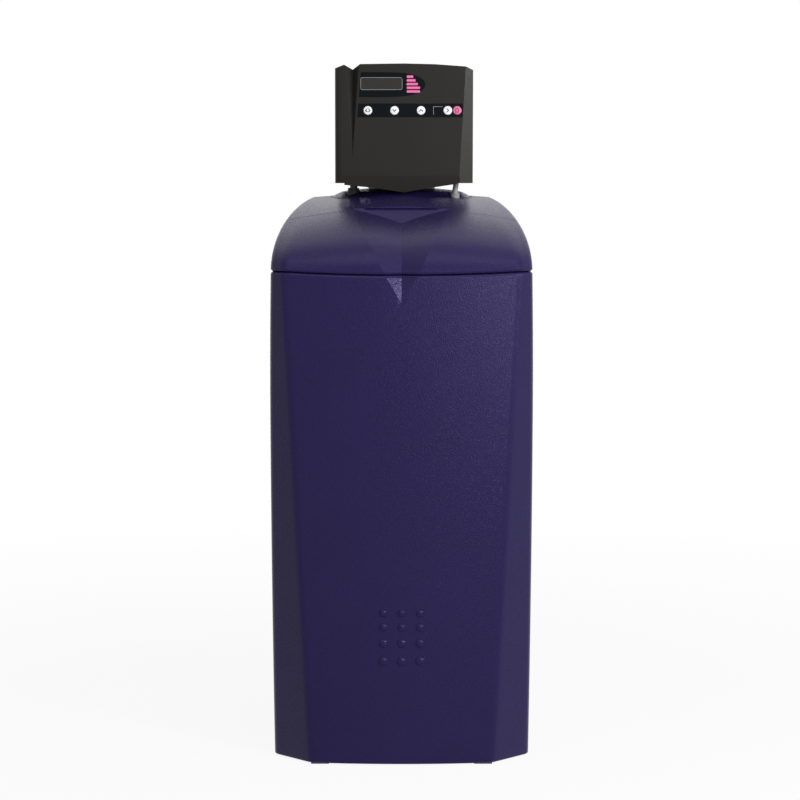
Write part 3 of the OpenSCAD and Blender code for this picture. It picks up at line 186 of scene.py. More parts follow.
# Lamps: name, place, target and size in metres, power in watts
LAMPS = [
    ("key_light", (1.64, -1.99, 1.34), (0.0, -0.245, 0.61), (0.3, 0.3), 31),
    ("front_light", (0.95, -2.85, 0.85), (0.0, -0.2, 0.65), (0.28, 0.28), 19),
    ("side_light", (2.3, -1.05, 0.98), (0.08, 0.02, 0.86), (0.24, 0.24), 19),
    ("top_light", (0.0, 0.0, 2.7), (0.0, 0.0, 0.0), (3.0, 3.0), 12.5),
    ("high_light", (0.2, -1.5, 2.4), (0.0, -0.2, 0.65), (2.0, 1.2), 14),
    ("fill_light", (-1.64, -1.99, 1.34), (0.0, -0.245, 0.61), (0.6, 0.6), 2.5),
    ("rear_light", (0.0, 2.6, 0.34), (0.0, 0.2, 0.45), (1.6, 0.6), 14),
]
# Camera: place in metres, tilt in degrees, lens and sensor in millimetres
CAMERA_PLACE = (-0.002, -3.245, 0.756)
CAMERA_TILT = 84.55
CAMERA_LENS = 107.9
SENSOR_W = 36.0
FAR_CLIP = 50.0

# How far a print stands out of the face that carries it, and how deep it goes, in millimetres
PRINT_RISE = 0.05
PRINT_ROOT = 0.15
KEY_PRINT_RISE = 0.14


def mix(a, b, t):
    """Number a share t of the way from a to b."""
    return a + (b - a) * t


def span(a, b, n):
    """n + 1 evenly spaced numbers from a to b."""
    return [mix(a, b, i / n) for i in range(n + 1)]


# Outlines of the cabinet and covers
def draw_in(z):
    """How far the cabinet's faces lie inside their widest line at a height."""
    if z < BELLY_H:
        return FOOT_DRAW * ((BELLY_H - z) / BELLY_H) ** 2
    return RIM_DRAW * ((z - BELLY_H) / (RIM_H - BELLY_H)) ** 2


def half_w(z):
    """Half the cabinet's width at a height."""
    return CABINET_W / 2 - draw_in(z)


def panel_half(z):
    """Half the front panel's width at a height."""
    return mix(PANEL_FOOT_W, PANEL_TOP_W, z / RIM_H) / 2


def soft_corner(p, q, s, e, n=8):
    """Smooth turn at corner q between p and s."""
    p, q, s = Vector(p), Vector(q), Vector(s)
    a = q + (p - q).normalized() * e
    b = q + (s - q).normalized() * e
    return [tuple(a * (1 - t) ** 2 + q * 2 * t * (1 - t) + b * t * t) for t in span(0, 1, n)]


def half_plan(w, a, f, r, b, e, c, g):
    """Right half of a plan outline, from the valley's edge round to the rear wall."""
    bowed = [(x, f + b * (x / a) ** 2) for x in span(min(g, PANEL_SHARE * (a - e)), a - e, 28)]
    q1, q2 = (a, f + b), (w, f + b + w - a)
    chamfer = soft_corner(bowed[-1], q1, q2, e)[1:]
    side = soft_corner(q1, q2, (w, r - c), e)
    along = [tuple(Vector(chamfer[-1]).lerp(Vector(side[0]), t)) for t in span(0, 1, 8)[1:-1]]
    back = [(w, y) for y in span(side[-1][1], r - c, 10)[1:-1]]
    turn = [(w - c + c * math.cos(t), r - c + c * math.sin(t)) for t in span(0, math.pi / 2, 12)]
    return bowed + chamfer + along + side + back + turn


def whole_plan(half, mid):
    """Full outline from its right half and the valley's middle."""
    return [(-x, y) for x, y in reversed(half)] + [mid] + half


def dip(x, y, a):
    """How far the seam sags at the front."""
    return RIM_DIP * (1 - (x / a) ** 2) if y < 0 and abs(x) < a else 0.0


def valley_g(z, a):
    """Half width of the valley at a height."""
    return max(VALLEY_LEAST, min(VALLEY_MOST * a, VALLEY_SPREAD * (z - VALLEY_TIP)))


def valley_d(z):
    """Depth of the valley at a height."""
    return max(0.0, VALLEY_SLOPE * (z - VALLEY_TIP))


def cabinet_ring(z, o, dip_share=0.0, lift=0.0):
    """Outline of the cabinet at a height, o inside its outer face."""
    w = half_w(z) - o
    a = panel_half(z) - o * TAN_EIGHTH
    f = FRONT_Y + draw_in(z) + o
    half = half_plan(w, a, f, REAR_Y - o, PANEL_BOW, EDGE_SOFT, REAR_CORNER_R - o, valley_g(z, a))
    ring = whole_plan(half, (0.0, f + valley_d(z)))
    return [(x, y, z + lift - dip_share * dip(x, y, a)) for x, y in ring]


def dome_ring(t, o, z0, valley, lift=0.0):
    """Outline of the covers t degrees up their curve, o inside their outer face."""
    s, c = math.sin(math.radians(t)), math.cos(math.radians(t))
    k = 1 - c
    z = z0 + DOME_H * s - o * s
    w = half_w(RIM_H) - DOME_SIDE * k - o * c
    a = PANEL_TOP_W / 2 - DOME_PANEL_DRAW * DOME_SIDE * k - o * c * TAN_EIGHTH
    f = FRONT_Y + RIM_DRAW + DOME_FRONT * k + o * c
    r = REAR_Y - DOME_REAR * k - o * c
    b = PANEL_BOW + DOME_BOW * DOME_FRONT * k
    d = valley_d(z) * (1 + VALLEY_DEEPEN * k) if valley else 0.0
    g = valley_g(z, a) if valley else VALLEY_LEAST
    soft = EDGE_SOFT + DOME_EDGE_GAIN * k
    corner = REAR_CORNER_R + DOME_CORNER_GAIN * k - o * c
    half = half_plan(w, a, f, r, b, soft, corner, g)
    ring = whole_plan(half, (0.0, f + d))
    share = max(0.0, 1 - DIP_FADE * s)
    return [(x, y, z + lift - share * dip(x, y, a)) for x, y in ring]


# Mesh helpers, all in millimetres
def shade(bm, sharp):
    """Smooth shading, with edges sharper than the angle in degrees left hard."""
    limit = math.radians(sharp)
    for face in bm.faces:
        face.smooth = True
    for edge in bm.edges:
        edge.smooth = not (edge.is_manifold and edge.calc_face_angle(0.0) > limit)


def to_object(bm, name, sharp=SHARP_ANGLE):
    """Object in metres from a mesh in millimetres."""
    bmesh.ops.recalc_face_normals(bm, faces=bm.faces)
    shade(bm, sharp)
    bmesh.ops.scale(bm, vec=(MM, MM, MM), verts=bm.verts)
    mesh = bpy.data.meshes.new(name)
    bm.to_mesh(mesh)
    bm.free()
    obj = bpy.data.objects.new(name, mesh)
    scene.collection.objects.link(obj)
    return obj


def loft(rings, first=None, last=None):
    """Skin through rings of equal count, closed at either end by a point."""
    bm = bmesh.new()
    rows = [[bm.verts.new(p) for p in ring] for ring in rings]
    n = len(rows[0])
    for low, high in zip(rows, rows[1:]):
        for i in range(n):
            j = (i + 1) % n
            bm.faces.new((low[i], low[j], high[j], high[i]))
    for row, tip in ((rows[0], first), (rows[-1], last)):
        if tip is not None:
            v = bm.verts.new(tip)
            for i in range(n):
                bm.faces.new((row[i], row[(i + 1) % n], v))
    return bm


def keep_side(bm, point, normal):
    """Cuts away what lies on the normal's side of a plane and closes the cut."""
    geom = bm.verts[:] + bm.edges[:] + bm.faces[:]
    bmesh.ops.bisect_plane(bm, geom=geom, dist=1e-5, plane_co=point, plane_no=normal, clear_outer=True)
    open_edges = [e for e in bm.edges if e.is_boundary]
    bmesh.ops.holes_fill(bm, edges=open_edges, sides=0)


def prism(bm, outline, place):
    """Adds a block over an outline; place turns (u, v, end) into a point for end 0 and 1."""
    low = [bm.verts.new(place(u, v, 0)) for u, v in outline]
    high = [bm.verts.new(place(u, v, 1)) for u, v in outline]
    bm.faces.new(low)
    bm.faces.new(list(reversed(high)))
    for i in range(len(low)):
        j = (i + 1) % len(low)
        bm.faces.new((low[i], high[i], high[j], low[j]))


def upright_block(outline, z0, z1):
    """Block over a plan outline."""
    bm = bmesh.new()
    prism(bm, outline, lambda x, y, end: (x, y, (z0, z1)[end]))
    return bm


def turned(profile, centre, sides=128):
    """Ring about an upright axis from a closed profile of radius and height."""
    rings = []
    for r, z in profile:
        turns = span(0, 2 * math.pi, sides)[:-1]
        rings.append([(centre[0] + r * math.cos(t), centre[1] + r * math.sin(t), z) for t in turns])
    return loft(rings + [rings[0]])


def drum(radius, length, matrix, sides):
    """Closed cylinder about the matrix's Z axis."""
    bm = bmesh.new()
    bmesh.ops.create_cone(bm, cap_ends=True, segments=sides, radius1=radius, radius2=radius,
                          depth=length, matrix=matrix)
    return bm


def cut(obj, cutter_bm):
    """Takes a closed cutter out of an object's mesh."""
    cutter = to_object(cutter_bm, "cutter")
    modifier = obj.modifiers.new("cut", "BOOLEAN")
    modifier.operation = "DIFFERENCE"
    modifier.solver = "EXACT"
    modifier.object = cutter
    bpy.context.view_layer.update()
    graph = bpy.context.evaluated_depsgraph_get()
    obj.data = bpy.data.meshes.new_from_object(obj.evaluated_get(graph))
    obj.modifiers.clear()
    bpy.data.objects.remove(cutter)
    bm = bmesh.new()
    bm.from_mesh(obj.data)
    shade(bm, SHARP_ANGLE)
    bm.to_mesh(obj.data)
    bm.free()


def soften(obj, width, angle=35.0):
    """Rounds an object's sharp edges by a width in millimetres."""
    weld = obj.modifiers.new("weld", "WELD")
    weld.merge_threshold = WELD_GAP
    bevel = obj.modifiers.new("soft_edges", "BEVEL")
    bevel.width = width * MM
    bevel.segments = 3
    bevel.limit_method = "ANGLE"
    bevel.angle_limit = math.radians(angle)
    bevel.harden_normals = True


# Materials
def srgb(r, g, b):
    """Linear colour from a colour of 0 to 255 per channel."""
    return tuple(((c / 255 + 0.055) / 1.055) ** 2.4 if c > 10 else c / 255 / 12.92 for c in (r, g, b))


def noise(tree, scale, detail):
    """Noise on the object's own coordinates, per metre."""
    place = tree.nodes.new("ShaderNodeTexCoord")
    texture = tree.nodes.new("ShaderNodeTexNoise")
    texture.inputs["Scale"].default_value = scale
    texture.inputs["Detail"].default_value = detail
    tree.links.new(place.outputs["Object"], texture.inputs["Vector"])
    return texture.outputs["Fac"]


def plastic(name, colour, rough=0.45, grain=500.0, depth=0.25, mottle=0.08, specular=0.5, swing=0.06,
            tint=(1.0, 1.0, 1.0)):
    """Moulded plastic with a grain, a faint mottle, uneven gloss and the sheen's tint."""
    material = bpy.data.materials.new(name)
    material.use_nodes = True
    tree = material.node_tree
    shader = tree.nodes["Principled BSDF"]
    shader.inputs["Specular IOR Level"].default_value = specular
    shader.inputs["Specular Tint"].default_value = (*tint, 1)
    fine = noise(tree, grain, GRAIN_DETAIL)
    broad = noise(tree, STAIN_SCALE, STAIN_DETAIL)
    ramp = tree.nodes.new("ShaderNodeValToRGB")
    ramp.color_ramp.elements[0].position = NOISE_LOW
    ramp.color_ramp.elements[0].color = (*(c * (1 - mottle) for c in colour), 1)
    ramp.color_ramp.elements[1].position = NOISE_HIGH
    ramp.color_ramp.elements[1].color = (*(min(1.0, c * (1 + mottle)) for c in colour), 1)
    tree.links.new(broad, ramp.inputs["Fac"])
    tree.links.new(ramp.outputs["Color"], shader.inputs["Base Color"])
    gloss = tree.nodes.new("ShaderNodeMapRange")
    gloss.inputs["From Min"].default_value = NOISE_LOW
    gloss.inputs["From Max"].default_value = NOISE_HIGH
    gloss.inputs["To Min"].default_value = max(LEAST_ROUGH, rough - swing)
    gloss.inputs["To Max"].default_value = min(1.0, rough + swing)
    tree.links.new(fine, gloss.inputs["Value"])
    tree.links.new(gloss.outputs["Result"], shader.inputs["Roughness"])
    bump = tree.nodes.new("ShaderNodeBump")
    bump.inputs["Strength"].default_value = depth
    bump.inputs["Distance"].default_value = GRAIN_HEIGHT
    tree.links.new(fine, bump.inputs["Height"])
    tree.links.new(bump.outputs["Normal"], shader.inputs["Normal"])
    return material


def metal(name, colour, rough=0.3):
    """Drawn metal with fine scratches and a faint stain."""
    material = plastic(name, colour, rough, grain=900.0, depth=0.08, mottle=0.05)
    material.node_tree.nodes["Principled BSDF"].inputs["Metallic"].default_value = 1.0
    return material


VIOLET = plastic("violet_plastic", srgb(30, 23, 63), rough=0.28, grain=640.0, depth=0.8, mottle=0.05,
                 specular=0.23, swing=0.08, tint=(0.62, 0.56, 1.0))
CHARCOAL = plastic("charcoal_plastic", srgb(34, 33, 30), rough=0.34, grain=900.0, depth=0.12, mottle=0.06,
                   specular=0.12)
OVERLAY = plastic("overlay_film", srgb(14, 19, 22), rough=0.3, grain=1500.0, depth=0.05, specular=0.04)
READOUT = plastic("readout_glass", srgb(51, 50, 49), rough=0.12, grain=1500.0, depth=0.02, specular=0.1)
WHITE_KEY = plastic("white_key", srgb(238, 240, 240), rough=0.35, grain=1200.0, depth=0.05, mottle=0.02)
PINK_KEY = plastic("pink_key", srgb(208, 100, 148), rough=0.35, grain=1200.0, depth=0.05, mottle=0.03)
PINK_INK = plastic("pink_ink", srgb(226, 104, 160), rough=0.3, grain=1500.0, depth=0.04, mottle=0.03)
GREY_INK = plastic("grey_ink", srgb(128, 131, 131), rough=0.4, grain=1500.0, depth=0.04, mottle=0.03)
DARK_INK = plastic("dark_ink", srgb(22, 24, 26), rough=0.5, grain=1500.0, depth=0.04, mottle=0.03,
                   specular=0.1)
PLUM_INK = plastic("plum_ink", srgb(122, 40, 78), rough=0.4, grain=1500.0, depth=0.04, mottle=0.03)
WHITE = plastic("white_plastic", srgb(228, 228, 222), rough=0.45, grain=600.0, depth=0.15, mottle=0.04)
GREY = plastic("grey_plastic", srgb(150, 151, 153), rough=0.42, grain=600.0, depth=0.15)
BLACK = plastic("black_plastic", srgb(30, 30, 31), rough=0.42, grain=600.0, depth=0.2)
TUBE_GREY = plastic("tube_grey", srgb(140, 141, 144), rough=0.35, grain=300.0, depth=0.08)
TUBE_BLACK = plastic("tube_black", srgb(24, 24, 25), rough=0.35, grain=300.0, depth=0.08)
RUBBER = plastic("black_rubber", srgb(22, 22, 22), rough=0.7, grain=900.0, depth=0.3)
PALE_RUBBER = plastic("pale_rubber", srgb(140, 141, 144), rough=0.6, grain=900.0, depth=0.2)
VESSEL = plastic("wound_fibre", srgb(92, 112, 130), rough=0.35, grain=160.0, depth=0.5, mottle=0.12)
RESIN = plastic("amber_beads", srgb(196, 142, 60), rough=0.5, grain=900.0, depth=0.9, mottle=0.2)
CERAMIC = plastic("ceramic", srgb(236, 232, 220), rough=0.2, grain=1200.0, depth=0.03, mottle=0.03)
BOARD = plastic("circuit_board", srgb(24, 92, 56), rough=0.4, grain=300.0, depth=0.1, mottle=0.15)
STEEL = metal("plain_steel", srgb(196, 198, 202), 0.32)
BRASS = metal("cut_brass", srgb(214, 176, 100), 0.3)

NODE_MATERIALS = {
    VIOLET: ["cabinet_shell", "salt_lid", "rear_cover"],
    CHARCOAL: ["front_cover", "rear_housing"],
    OVERLAY: ["display_window", "keypad_strip"],
    READOUT: ["lcd_module"],
    WHITE_KEY: ["key_1", "key_2", "key_3", "key_4"],
    PINK_KEY: ["key_5"],
    WHITE: ["bottom_strainer", "top_strainer", "drive_gear", "brine_elbow", "brine_well", "brine_well_cap",
            "salt_grid", "riser_tube"],
    GREY: ["brine_valve", "brine_float", "flow_turbine", "drain_elbow", "drive_plate",
           "overflow_fitting", "overflow_nut", "drain_outlet", "drain_nut"],
    BLACK: ["feet", "tank_boot", "valve_body", "bonnet", "injector_cap", "power_inlet"],
    TUBE_GREY: ["brine_tube"],
    TUBE_BLACK: ["drain_tube"],
    RUBBER: ["tank_o_ring", "drain_grommet"],
    PALE_RUBBER: ["brine_grommet"],
    VESSEL: ["resin_tank"],
    RESIN: ["resin_bed"],
    CERAMIC: ["fixed_disc", "moving_disc"],
    BOARD: ["control_board"],
    STEEL: ["valve_shaft", "bonnet_screws", "drive_motor", "turbine_axle", "housing_screws"],
    BRASS: ["motor_pinion"],
}
for material, names in NODE_MATERIALS.items():
    for name in names:
        mesh = nodes[name].data
        mesh.materials.clear()
        mesh.materials.append(material)


def dress(obj, material, body, slot, *replaced):
    """Gives a piece its material and body, and hides the nodes that it replaces; the slot is not used."""
    obj.data.materials.clear()
    obj.data.materials.append(material)
    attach(obj, body)
    if replaced:
        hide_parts(*replaced)
    return obj


# Cabinet
def cabinet():
    """Cabinet skin with rounded foot and rim, its inner face and the two rear tail holes."""
    quarter = span(0, math.pi / 2, 5)
    foot = [cabinet_ring(FOOT_H + EDGE_R * (1 - math.sin(t)), EDGE_R * (1 - math.cos(t)))
            for t in reversed(quarter)]
    low = [cabinet_ring(z, 0) for z in span(FOOT_H + EDGE_R, VALLEY_TIP, 48)[1:]]
    mid_z = mix(VALLEY_TIP, RIM_H, 0.5)
    high = [cabinet_ring(z, 0, max(0.0, (z - mid_z) / (RIM_H - mid_z)))
            for z in span(VALLEY_TIP, RIM_H - SEAM_R, 14)[1:]]
    rim = [cabinet_ring(RIM_H, SEAM_R * (1 - math.cos(t)), 1.0, SEAM_R * (math.sin(t) - 1))
           for t in quarter[1:]]
    inside = [cabinet_ring(RIM_H, WALL, 1.0), cabinet_ring(mid_z, WALL)]
    inside += [cabinet_ring(z, WALL) for z in span(VALLEY_TIP, FOOT_H + WALL + EDGE_R, 12)]
    inside += [cabinet_ring(FOOT_H + WALL, WALL + EDGE_R)]
    skin = loft(foot + low + high + rim + inside, (0, 0, FOOT_H), (0, 0, FOOT_H + WALL))
    obj = to_object(skin, "cabinet_skin")
    along_y = Matrix.Rotation(math.pi / 2, 4, "X")
    for s in (-1, 1):
        place = Matrix.Translation((s * TAIL_X, REAR_Y - WALL / 2, TAIL_Z)) @ along_y
        cut(obj, drum(TAIL_HOLE_R, 4 * WALL, place, 48))
    return obj


def bumps():
    """Domes on the front panel, each with a small fillet at its root."""
    bm = bmesh.new()
    profile = BUMP_ROOT + [(math.cos(t), BUMP_SHOULDER + (1 - BUMP_SHOULDER) * math.sin(t))
                           for t in span(0.1, 1.5, 8)]
    for column in range(BUMP_COLUMNS):
        for row in range(BUMP_ROWS):
            x = (column - (BUMP_COLUMNS - 1) / 2) * BUMP_PITCH_X
            z = BUMP_TOP_H - row * BUMP_PITCH_Z - BUMP_PITCH_GAIN * row * (row - 1) / 2
            radius = (BUMP_D + BUMP_GAIN * row) / 2
            face = FRONT_Y + draw_in(z) + PANEL_BOW * (x / panel_half(z)) ** 2
            rows = []
            for r, rise in profile:
                rows.append([bm.verts.new((x + radius * r * math.cos(t), face - BUMP_RISE * rise,
                                           z + radius * r * math.sin(t)))
                             for t in span(0, 2 * math.pi, BUMP_SIDES)[:-1]])
            for low, high in zip(rows, rows[1:]):
                for i in range(BUMP_SIDES):
                    j = (i + 1) % BUMP_SIDES
                    bm.faces.new((low[i], low[j], high[j], high[i]))
            bm.faces.new(rows[-1])
            bm.faces.new(list(reversed(rows[0])))
    return to_object(bm, "panel_bumps", 40.0)


# Covers
def dome(z0, valley, o_out=0.0, o_in=WALL):
    """Closed shell of the covers over the whole plan, to be cut at the seam."""
    steps = [DOME_LAST * t ** DOME_EASE for t in span(0, 1, DOME_STEPS)[1:]]
    top = z0 + DOME_H + DOME_CROWN
    k = 1 - math.cos(math.radians(DOME_LAST))
    mid = (0.0, (FRONT_Y + REAR_Y + (DOME_FRONT - DOME_REAR) * k) / 2)

    def crown(o):
        last = dome_ring(DOME_LAST, o, z0, valley)
        tip = Vector((*mid, top - o))
        return [[tuple(Vector(p).lerp(tip, t)) for p in last] for t in span(0, CROWN_SHARE, 6)[1:]]

    quarter = span(0, math.pi / 2, 5)
    inner = list(reversed([dome_ring(t, o_in, z0, valley) for t in steps] + crown(o_in)))
    edge = [dome_ring(0, o_in, z0, valley)]
    edge += [dome_ring(0, SEAM_R * (1 - math.sin(t)), z0, valley, SEAM_R * (1 - math.cos(t)))
             for t in quarter]
    outer = [dome_ring(t, o_out, z0, valley) for t in steps] + crown(o_out)
    return loft(inner + edge + outer, (*mid, top - o_in), (*mid, top - o_out))


def lid():
    """Front cover skin with the finger notch cut out of its rear edge."""
    bm = dome(LID_Z, True)
    keep_side(bm, (0, SEAM_Y - LID_GAP / 2, 0), (0, 1, 0))
    obj = to_object(bm, "lid_skin")
    h = RECESS_W / 2
    edge_y = SEAM_Y - LID_GAP / 2
    past_y = SEAM_Y + NOTCH_PAST
    notch = [(0, SEAM_Y - RECESS_D), (h, edge_y), (h, past_y), (-h, past_y), (-h, edge_y)]
    cut(obj, upright_block(notch, RIM_H, SKY_Z))
    return obj


def rear_shell():
    """Rear cover skin with the collar's opening and the slot under its front lip."""
    bm = dome(COVER_Z, False)
    keep_side(bm, (0, WALL_Y, 0), (0, -1, 0))
    obj = to_object(bm, "rear_cover_skin")
    cut(obj, drum(COLLAR_R, 4 * DOME_H, Matrix.Translation((0, TANK_Y, RIM_H + DOME_H)), 128))
    h = RECESS_W / 2 - RECESS_LIP
    slot = [(-h, WALL_Y - 1), (h, WALL_Y - 1), (h, WALL_Y + RECESS_LIP), (-h, WALL_Y + RECESS_LIP)]
    cut(obj, upright_block(slot, BULKHEAD_FOOT, SEAM_Z - LIP_T))
    return obj


def collar():
    """Raised ring round the valve's neck, with a skirt down past the dome's rear edge."""
    top = COVER_Z + DOME_H + COLLAR_RISE
    edge = COVER_Z + DOME_H * math.sin(math.radians(DOME_LAST)) + COLLAR_SEAT
    m = COLLAR_MOUTH_R
    line = [(mix(m, COLLAR_R, share), top - drop) for share, drop in COLLAR_CREST]
    line += [(mix(m, COLLAR_R, COLLAR_KNEE[0]), mix(top, edge, COLLAR_KNEE[1])), (COLLAR_R - 1.5, edge),
             (COLLAR_R + COLLAR_LIP, edge - 0.5)]
    foot = edge - COLLAR_SKIRT
    lip = edge - COLLAR_LIP_T
    under = [(COLLAR_R + COLLAR_LIP, lip), (COLLAR_R, lip), (COLLAR_R, foot), (COLLAR_R - COLLAR_LIP, foot),
             (COLLAR_R - COLLAR_LIP, lip), (COLLAR_R - COLLAR_STEP, lip),
             (mix(m, COLLAR_R, COLLAR_INNER[0]), top - COLLAR_INNER[1] - WALL), (m, top - WALL)]
    return to_object(turned(line + under, (0, TANK_Y)), "collar_skin", 30.0)


def bulkhead():
    """Wall behind the finger recess, under the cover's front edge."""
    rings = [dome_ring(t, WALL / 2, COVER_Z, False) for t in span(0, DOME_LAST, DOME_STEPS)]
    bm = loft(rings, (0, 0, COVER_Z), (0, BULKHEAD_TIP_Y, COVER_Z + DOME_H))
    keep_side(bm, (0, WALL_Y + RECESS_LIP, 0), (0, -1, 0))
    keep_side(bm, (0, WALL_Y + RECESS_LIP + WALL, 0), (0, 1, 0))
    keep_side(bm, (0, 0, BULKHEAD_FOOT), (0, 0, -1))
    return to_object(bm, "recess_wall")


def recess_ramp():
    """Sloping floor of the finger recess."""
    h = RECESS_W / 2
    outline = [(0, SEAM_Y - RAMP_RUN), (h, SEAM_Y), (h, WALL_Y + WALL / 2),
               (-h, WALL_Y + WALL / 2), (-h, SEAM_Y)]
    bm = upright_block(outline, RIM_H, SKY_Z)
    keep_side(bm, (0, WALL_Y, RECESS_TOP), (0, -RECESS_SLOPE, 1))
    keep_side(bm, (0, WALL_Y, RECESS_TOP - RAMP_T), (0, RECESS_SLOPE, -1))
    return to_object(bm, "recess_ramp")


dress(cabinet(), VIOLET, "softener", "cabinet", "cabinet_shell")
dress(bumps(), VIOLET, "softener", "cabinet")
dress(lid(), VIOLET, "lid", "cabinet", "salt_lid")
dress(rear_shell(), VIOLET, "softener", "cabinet", "rear_cover")
dress(collar(), VIOLET, "softener", "cabinet")
dress(bulkhead(), VIOLET, "softener", "cabinet")
dress(recess_ramp(), VIOLET, "softener", "cabinet")


# Prints on the control head
def rounded(x, z, w, h, r, n=6):
    """Outline of a box with rounded corners."""
    u, v = w / 2 - r, h / 2 - r
    corners = [(u, v), (-u, v), (-u, -v), (u, -v)]
    return [(x + cx + r * math.cos(t), z + cz + r * math.sin(t))
            for q, (cx, cz) in enumerate(corners) for t in span(q * math.pi / 2, (q + 1) * math.pi / 2, n)]


def circle(x, z, r, n=40):
    """Outline of a circle."""
    return [(x + r * math.cos(t), z + r * math.sin(t)) for t in span(0, 2 * math.pi, n)[:-1]]


def chevron(x, z, turn, half=2.4, reach=2.6, stroke=1.5):
    """Outline of an arrow head that points along +X before it is turned."""
    points = [(-reach / 2, half), (stroke - reach / 2, half), (reach / 2 + stroke, 0),
              (stroke - reach / 2, -half), (-reach / 2, -half), (reach / 2, 0)]
    c, s = math.cos(math.radians(turn)), math.sin(math.radians(turn))
    shift = stroke / 2
    return [(x + (u - shift) * c - v * s, z + (u - shift) * s + v * c) for u, v in points]


def printed(name, outlines, face_y, rise=PRINT_RISE):
    """Thin inlays on a face that looks along -Y."""
    bm = bmesh.new()
    for outline in outlines:
        prism(bm, outline, lambda x, z, end: (x, face_y + (-rise, PRINT_ROOT)[end], z))
    return to_object(bm, name)


def framed(name, outer, inner, face_y):
    """Thin closed band between two outlines of equal count."""
    bm = bmesh.new()
    loops = []
    for outline, y in ((outer, -PRINT_RISE), (inner, -PRINT_RISE), (inner, PRINT_ROOT), (outer, PRINT_ROOT)):
        loops.append([bm.verts.new((x, face_y + y, z)) for x, z in outline])
    for a, b in zip(loops, loops[1:] + loops[:1]):
        for i in range(len(a)):
            j = (i + 1) % len(a)
            bm.faces.new((a[i], a[j], b[j], b[i]))
    return to_object(bm, name)


def prints():
    """Readout, level bars, bracket and key signs on the head."""
    glass = rounded(READOUT_X, READOUT_Z, READOUT_W, READOUT_H, READOUT_R)
    rim = rounded(READOUT_X, READOUT_Z, READOUT_W + 2 * READOUT_LINE, READOUT_H + 2 * READOUT_LINE,
                  READOUT_R + READOUT_LINE)
    dress(printed("readout_face", [glass], OVERLAY_Y), READOUT, "softener", "readout")
    dress(framed("readout_rim", rim, glass, OVERLAY_Y), GREY_INK, "softener", "overlay")
    # A plain stack of level bars beside the readout
    bars = [rounded(BAR_LEFT + length / 2, BAR_FIRST_Z + BAR_PITCH * i, length, BAR_H, BAR_R)
            for i, length in enumerate(BAR_LENGTHS)]
    dress(printed("level_bars", bars, OVERLAY_Y), PINK_INK, "softener", "pink_key")
    # Fine bracket on the keypad strip
    x0, x1 = BRACKET_XS
    z0, z1 = BRACKET_ZS
    inner_x, inner_z = x0 + BRACKET_LINE, z1 - BRACKET_LINE
    bracket = [(x0, z0), (inner_x, z0), (inner_x, inner_z), (x1, inner_z), (x1, z1), (x0, z1)]
    dress(printed("strip_bracket", [bracket], OVERLAY_Y), GREY_INK, "softener", "overlay")
    # Plain arrow heads on the white keys and a ring on the pink one
    xs = [HEAD_X + x for x in KEY_XS]
    arrows = [[chevron(xs[0] - ARROW_SHIFT, STRIP_Z, 180), chevron(xs[0] + ARROW_SHIFT, STRIP_Z, 0)],
              [chevron(xs[1], STRIP_Z, -90)], [chevron(xs[2], STRIP_Z, 90)], [chevron(xs[3], STRIP_Z, 0)]]
    for i, outlines in enumerate(arrows, 1):
        dress(printed(f"key_{i}_arrow", outlines, KEY_Y, KEY_PRINT_RISE), DARK_INK, f"key_{i}", "overlay")
    outer, inner = (circle(xs[4], STRIP_Z, r) for r in RING_RADII)
    ring = framed("key_5_ring", outer, inner, KEY_Y)
    dress(ring, PLUM_INK, "key_5", "overlay")


prints()

# Soft edges of the CAD pieces that show
for name in ("front_cover", "rear_housing"):
    soften(nodes[name], HEAD_EDGE)
for name in ("feet", "overflow_fitting", "overflow_nut", "drain_outlet", "drain_nut", "power_inlet",
             "housing_screws", "brine_well_cap", "brine_well"):
    soften(nodes[name], SMALL_EDGE)
for name in ("brine_tube", "drain_tube"):
    nodes[name].modifiers.new("weld", "WELD").merge_threshold = WELD_GAP
    nodes[name].modifiers.new("round", "SUBSURF").render_levels = 2


# Floor, surroundings, lights and camera
def seen_share(tree):
    """1 for rays from the camera, reflections and clear parts, 0 for rays that carry light."""
    ray = tree.nodes.new("ShaderNodeLightPath")
    share = ray.outputs["Is Camera Ray"]
    for kind in ("Is Glossy Ray", "Is Transmission Ray"):
        either = tree.nodes.new("ShaderNodeMath")
        either.operation = "MAXIMUM"
        tree.links.new(share, either.inputs[0])
        tree.links.new(ray.outputs[kind], either.inputs[1])
        share = either.outputs[0]
    return share


def blended(tree, share, first, second):
    """First shader where the share is 0, second where it is 1."""
    blend = tree.nodes.new("ShaderNodeMixShader")
    tree.links.new(share, blend.inputs["Fac"])
    tree.links.new(first, blend.inputs[1])
    tree.links.new(second, blend.inputs[2])
    return blend.outputs[0]


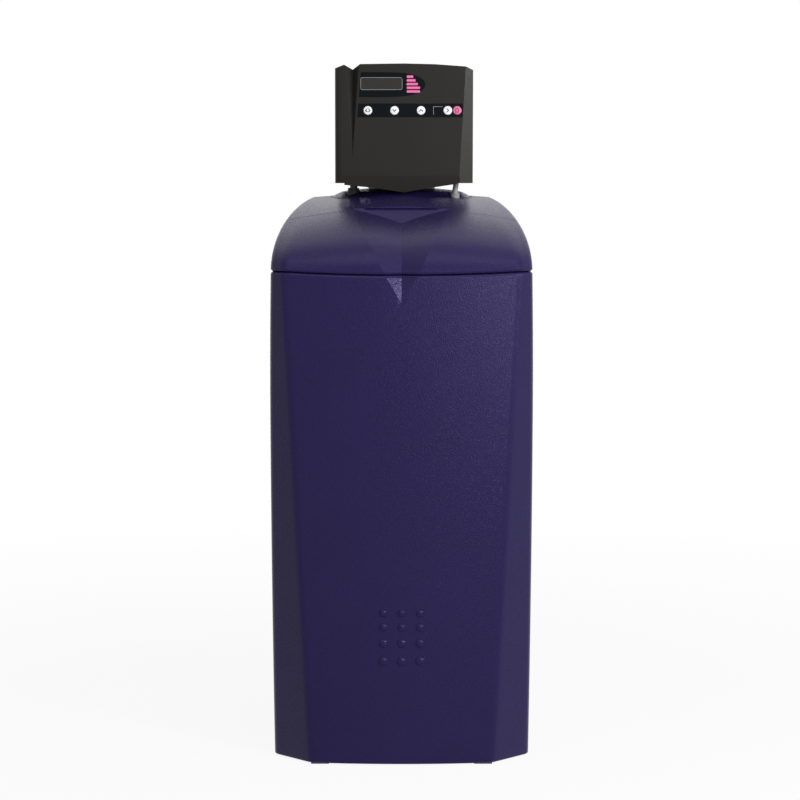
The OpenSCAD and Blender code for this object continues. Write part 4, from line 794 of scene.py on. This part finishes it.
def floor():
    """White floor that is seen nearly as plain white and keeps the object's shadow."""
    bm = bmesh.new()
    bmesh.ops.create_circle(bm, cap_ends=True, segments=96, radius=FLOOR_R)
    mesh = bpy.data.meshes.new("floor")
    bm.to_mesh(mesh)
    bm.free()
    obj = bpy.data.objects.new("floor", mesh)
    scene.collection.objects.link(obj)
    material = bpy.data.materials.new("white_floor")
    material.use_nodes = True
    tree = material.node_tree
    tree.nodes.clear()
    out = tree.nodes.new("ShaderNodeOutputMaterial")
    sheet = tree.nodes.new("ShaderNodeBsdfDiffuse")
    sheet.inputs["Color"].default_value = (FLOOR_GREY, FLOOR_GREY, FLOOR_GREY, 1)
    glow = tree.nodes.new("ShaderNodeEmission")
    glow.inputs["Strength"].default_value = 1.0
    share = tree.nodes.new("ShaderNodeMath")
    share.operation = "MULTIPLY"
    place = tree.nodes.new("ShaderNodeTexCoord")
    reach = tree.nodes.new("ShaderNodeVectorMath")
    reach.operation = "LENGTH"
    fade = tree.nodes.new("ShaderNodeMapRange")
    fade.inputs["From Min"].default_value = FLOOR_R / 4
    fade.inputs["From Max"].default_value = FLOOR_R * 0.9
    fade.inputs["To Min"].default_value = FLOOR_GLOW
    fade.inputs["To Max"].default_value = 1.0
    tree.links.new(place.outputs["Object"], reach.inputs[0])
    tree.links.new(reach.outputs["Value"], fade.inputs["Value"])
    tree.links.new(fade.outputs["Result"], share.inputs[1])
    tree.links.new(seen_share(tree), share.inputs[0])
    surface = blended(tree, share.outputs[0], sheet.outputs[0], glow.outputs[0])
    tree.links.new(surface, out.inputs["Surface"])
    mesh.materials.append(material)


def surroundings():
    """White to the camera, in reflections and through clear parts; dimmer as a light."""
    world = bpy.data.worlds.new("studio")
    scene.world = world
    world.use_nodes = True
    tree = world.node_tree
    tree.nodes.clear()
    out = tree.nodes.new("ShaderNodeOutputWorld")
    room, white = (tree.nodes.new("ShaderNodeBackground") for _ in range(2))
    for background, strength in ((room, ROOM_LIGHT), (white, 1.0)):
        background.inputs["Color"].default_value = (1, 1, 1, 1)
        background.inputs["Strength"].default_value = strength
    surface = blended(tree, seen_share(tree), room.outputs[0], white.outputs[0])
    tree.links.new(surface, out.inputs["Surface"])


def area_light(name, place, target, size, power):
    """Flat lamp that looks at its target."""
    data = bpy.data.lights.new(name, "AREA")
    data.shape = "RECTANGLE"
    data.size, data.size_y = size
    data.energy = power
    obj = bpy.data.objects.new(name, data)
    obj.location = place
    obj.rotation_euler = (Vector(target) - Vector(place)).to_track_quat("-Z", "Y").to_euler()
    scene.collection.objects.link(obj)


floor()
surroundings()
for lamp in LAMPS:
    area_light(*lamp)

camera_data = bpy.data.cameras.new("photo_camera")
camera_data.sensor_width = SENSOR_W
camera_data.lens = CAMERA_LENS
camera_data.clip_end = FAR_CLIP
camera = bpy.data.objects.new("photo_camera", camera_data)
camera.location = CAMERA_PLACE
camera.rotation_euler = (math.radians(CAMERA_TILT), 0.0, 0.0)
scene.collection.objects.link(camera)
scene.camera = camera
scene.view_settings.view_transform = "Standard"
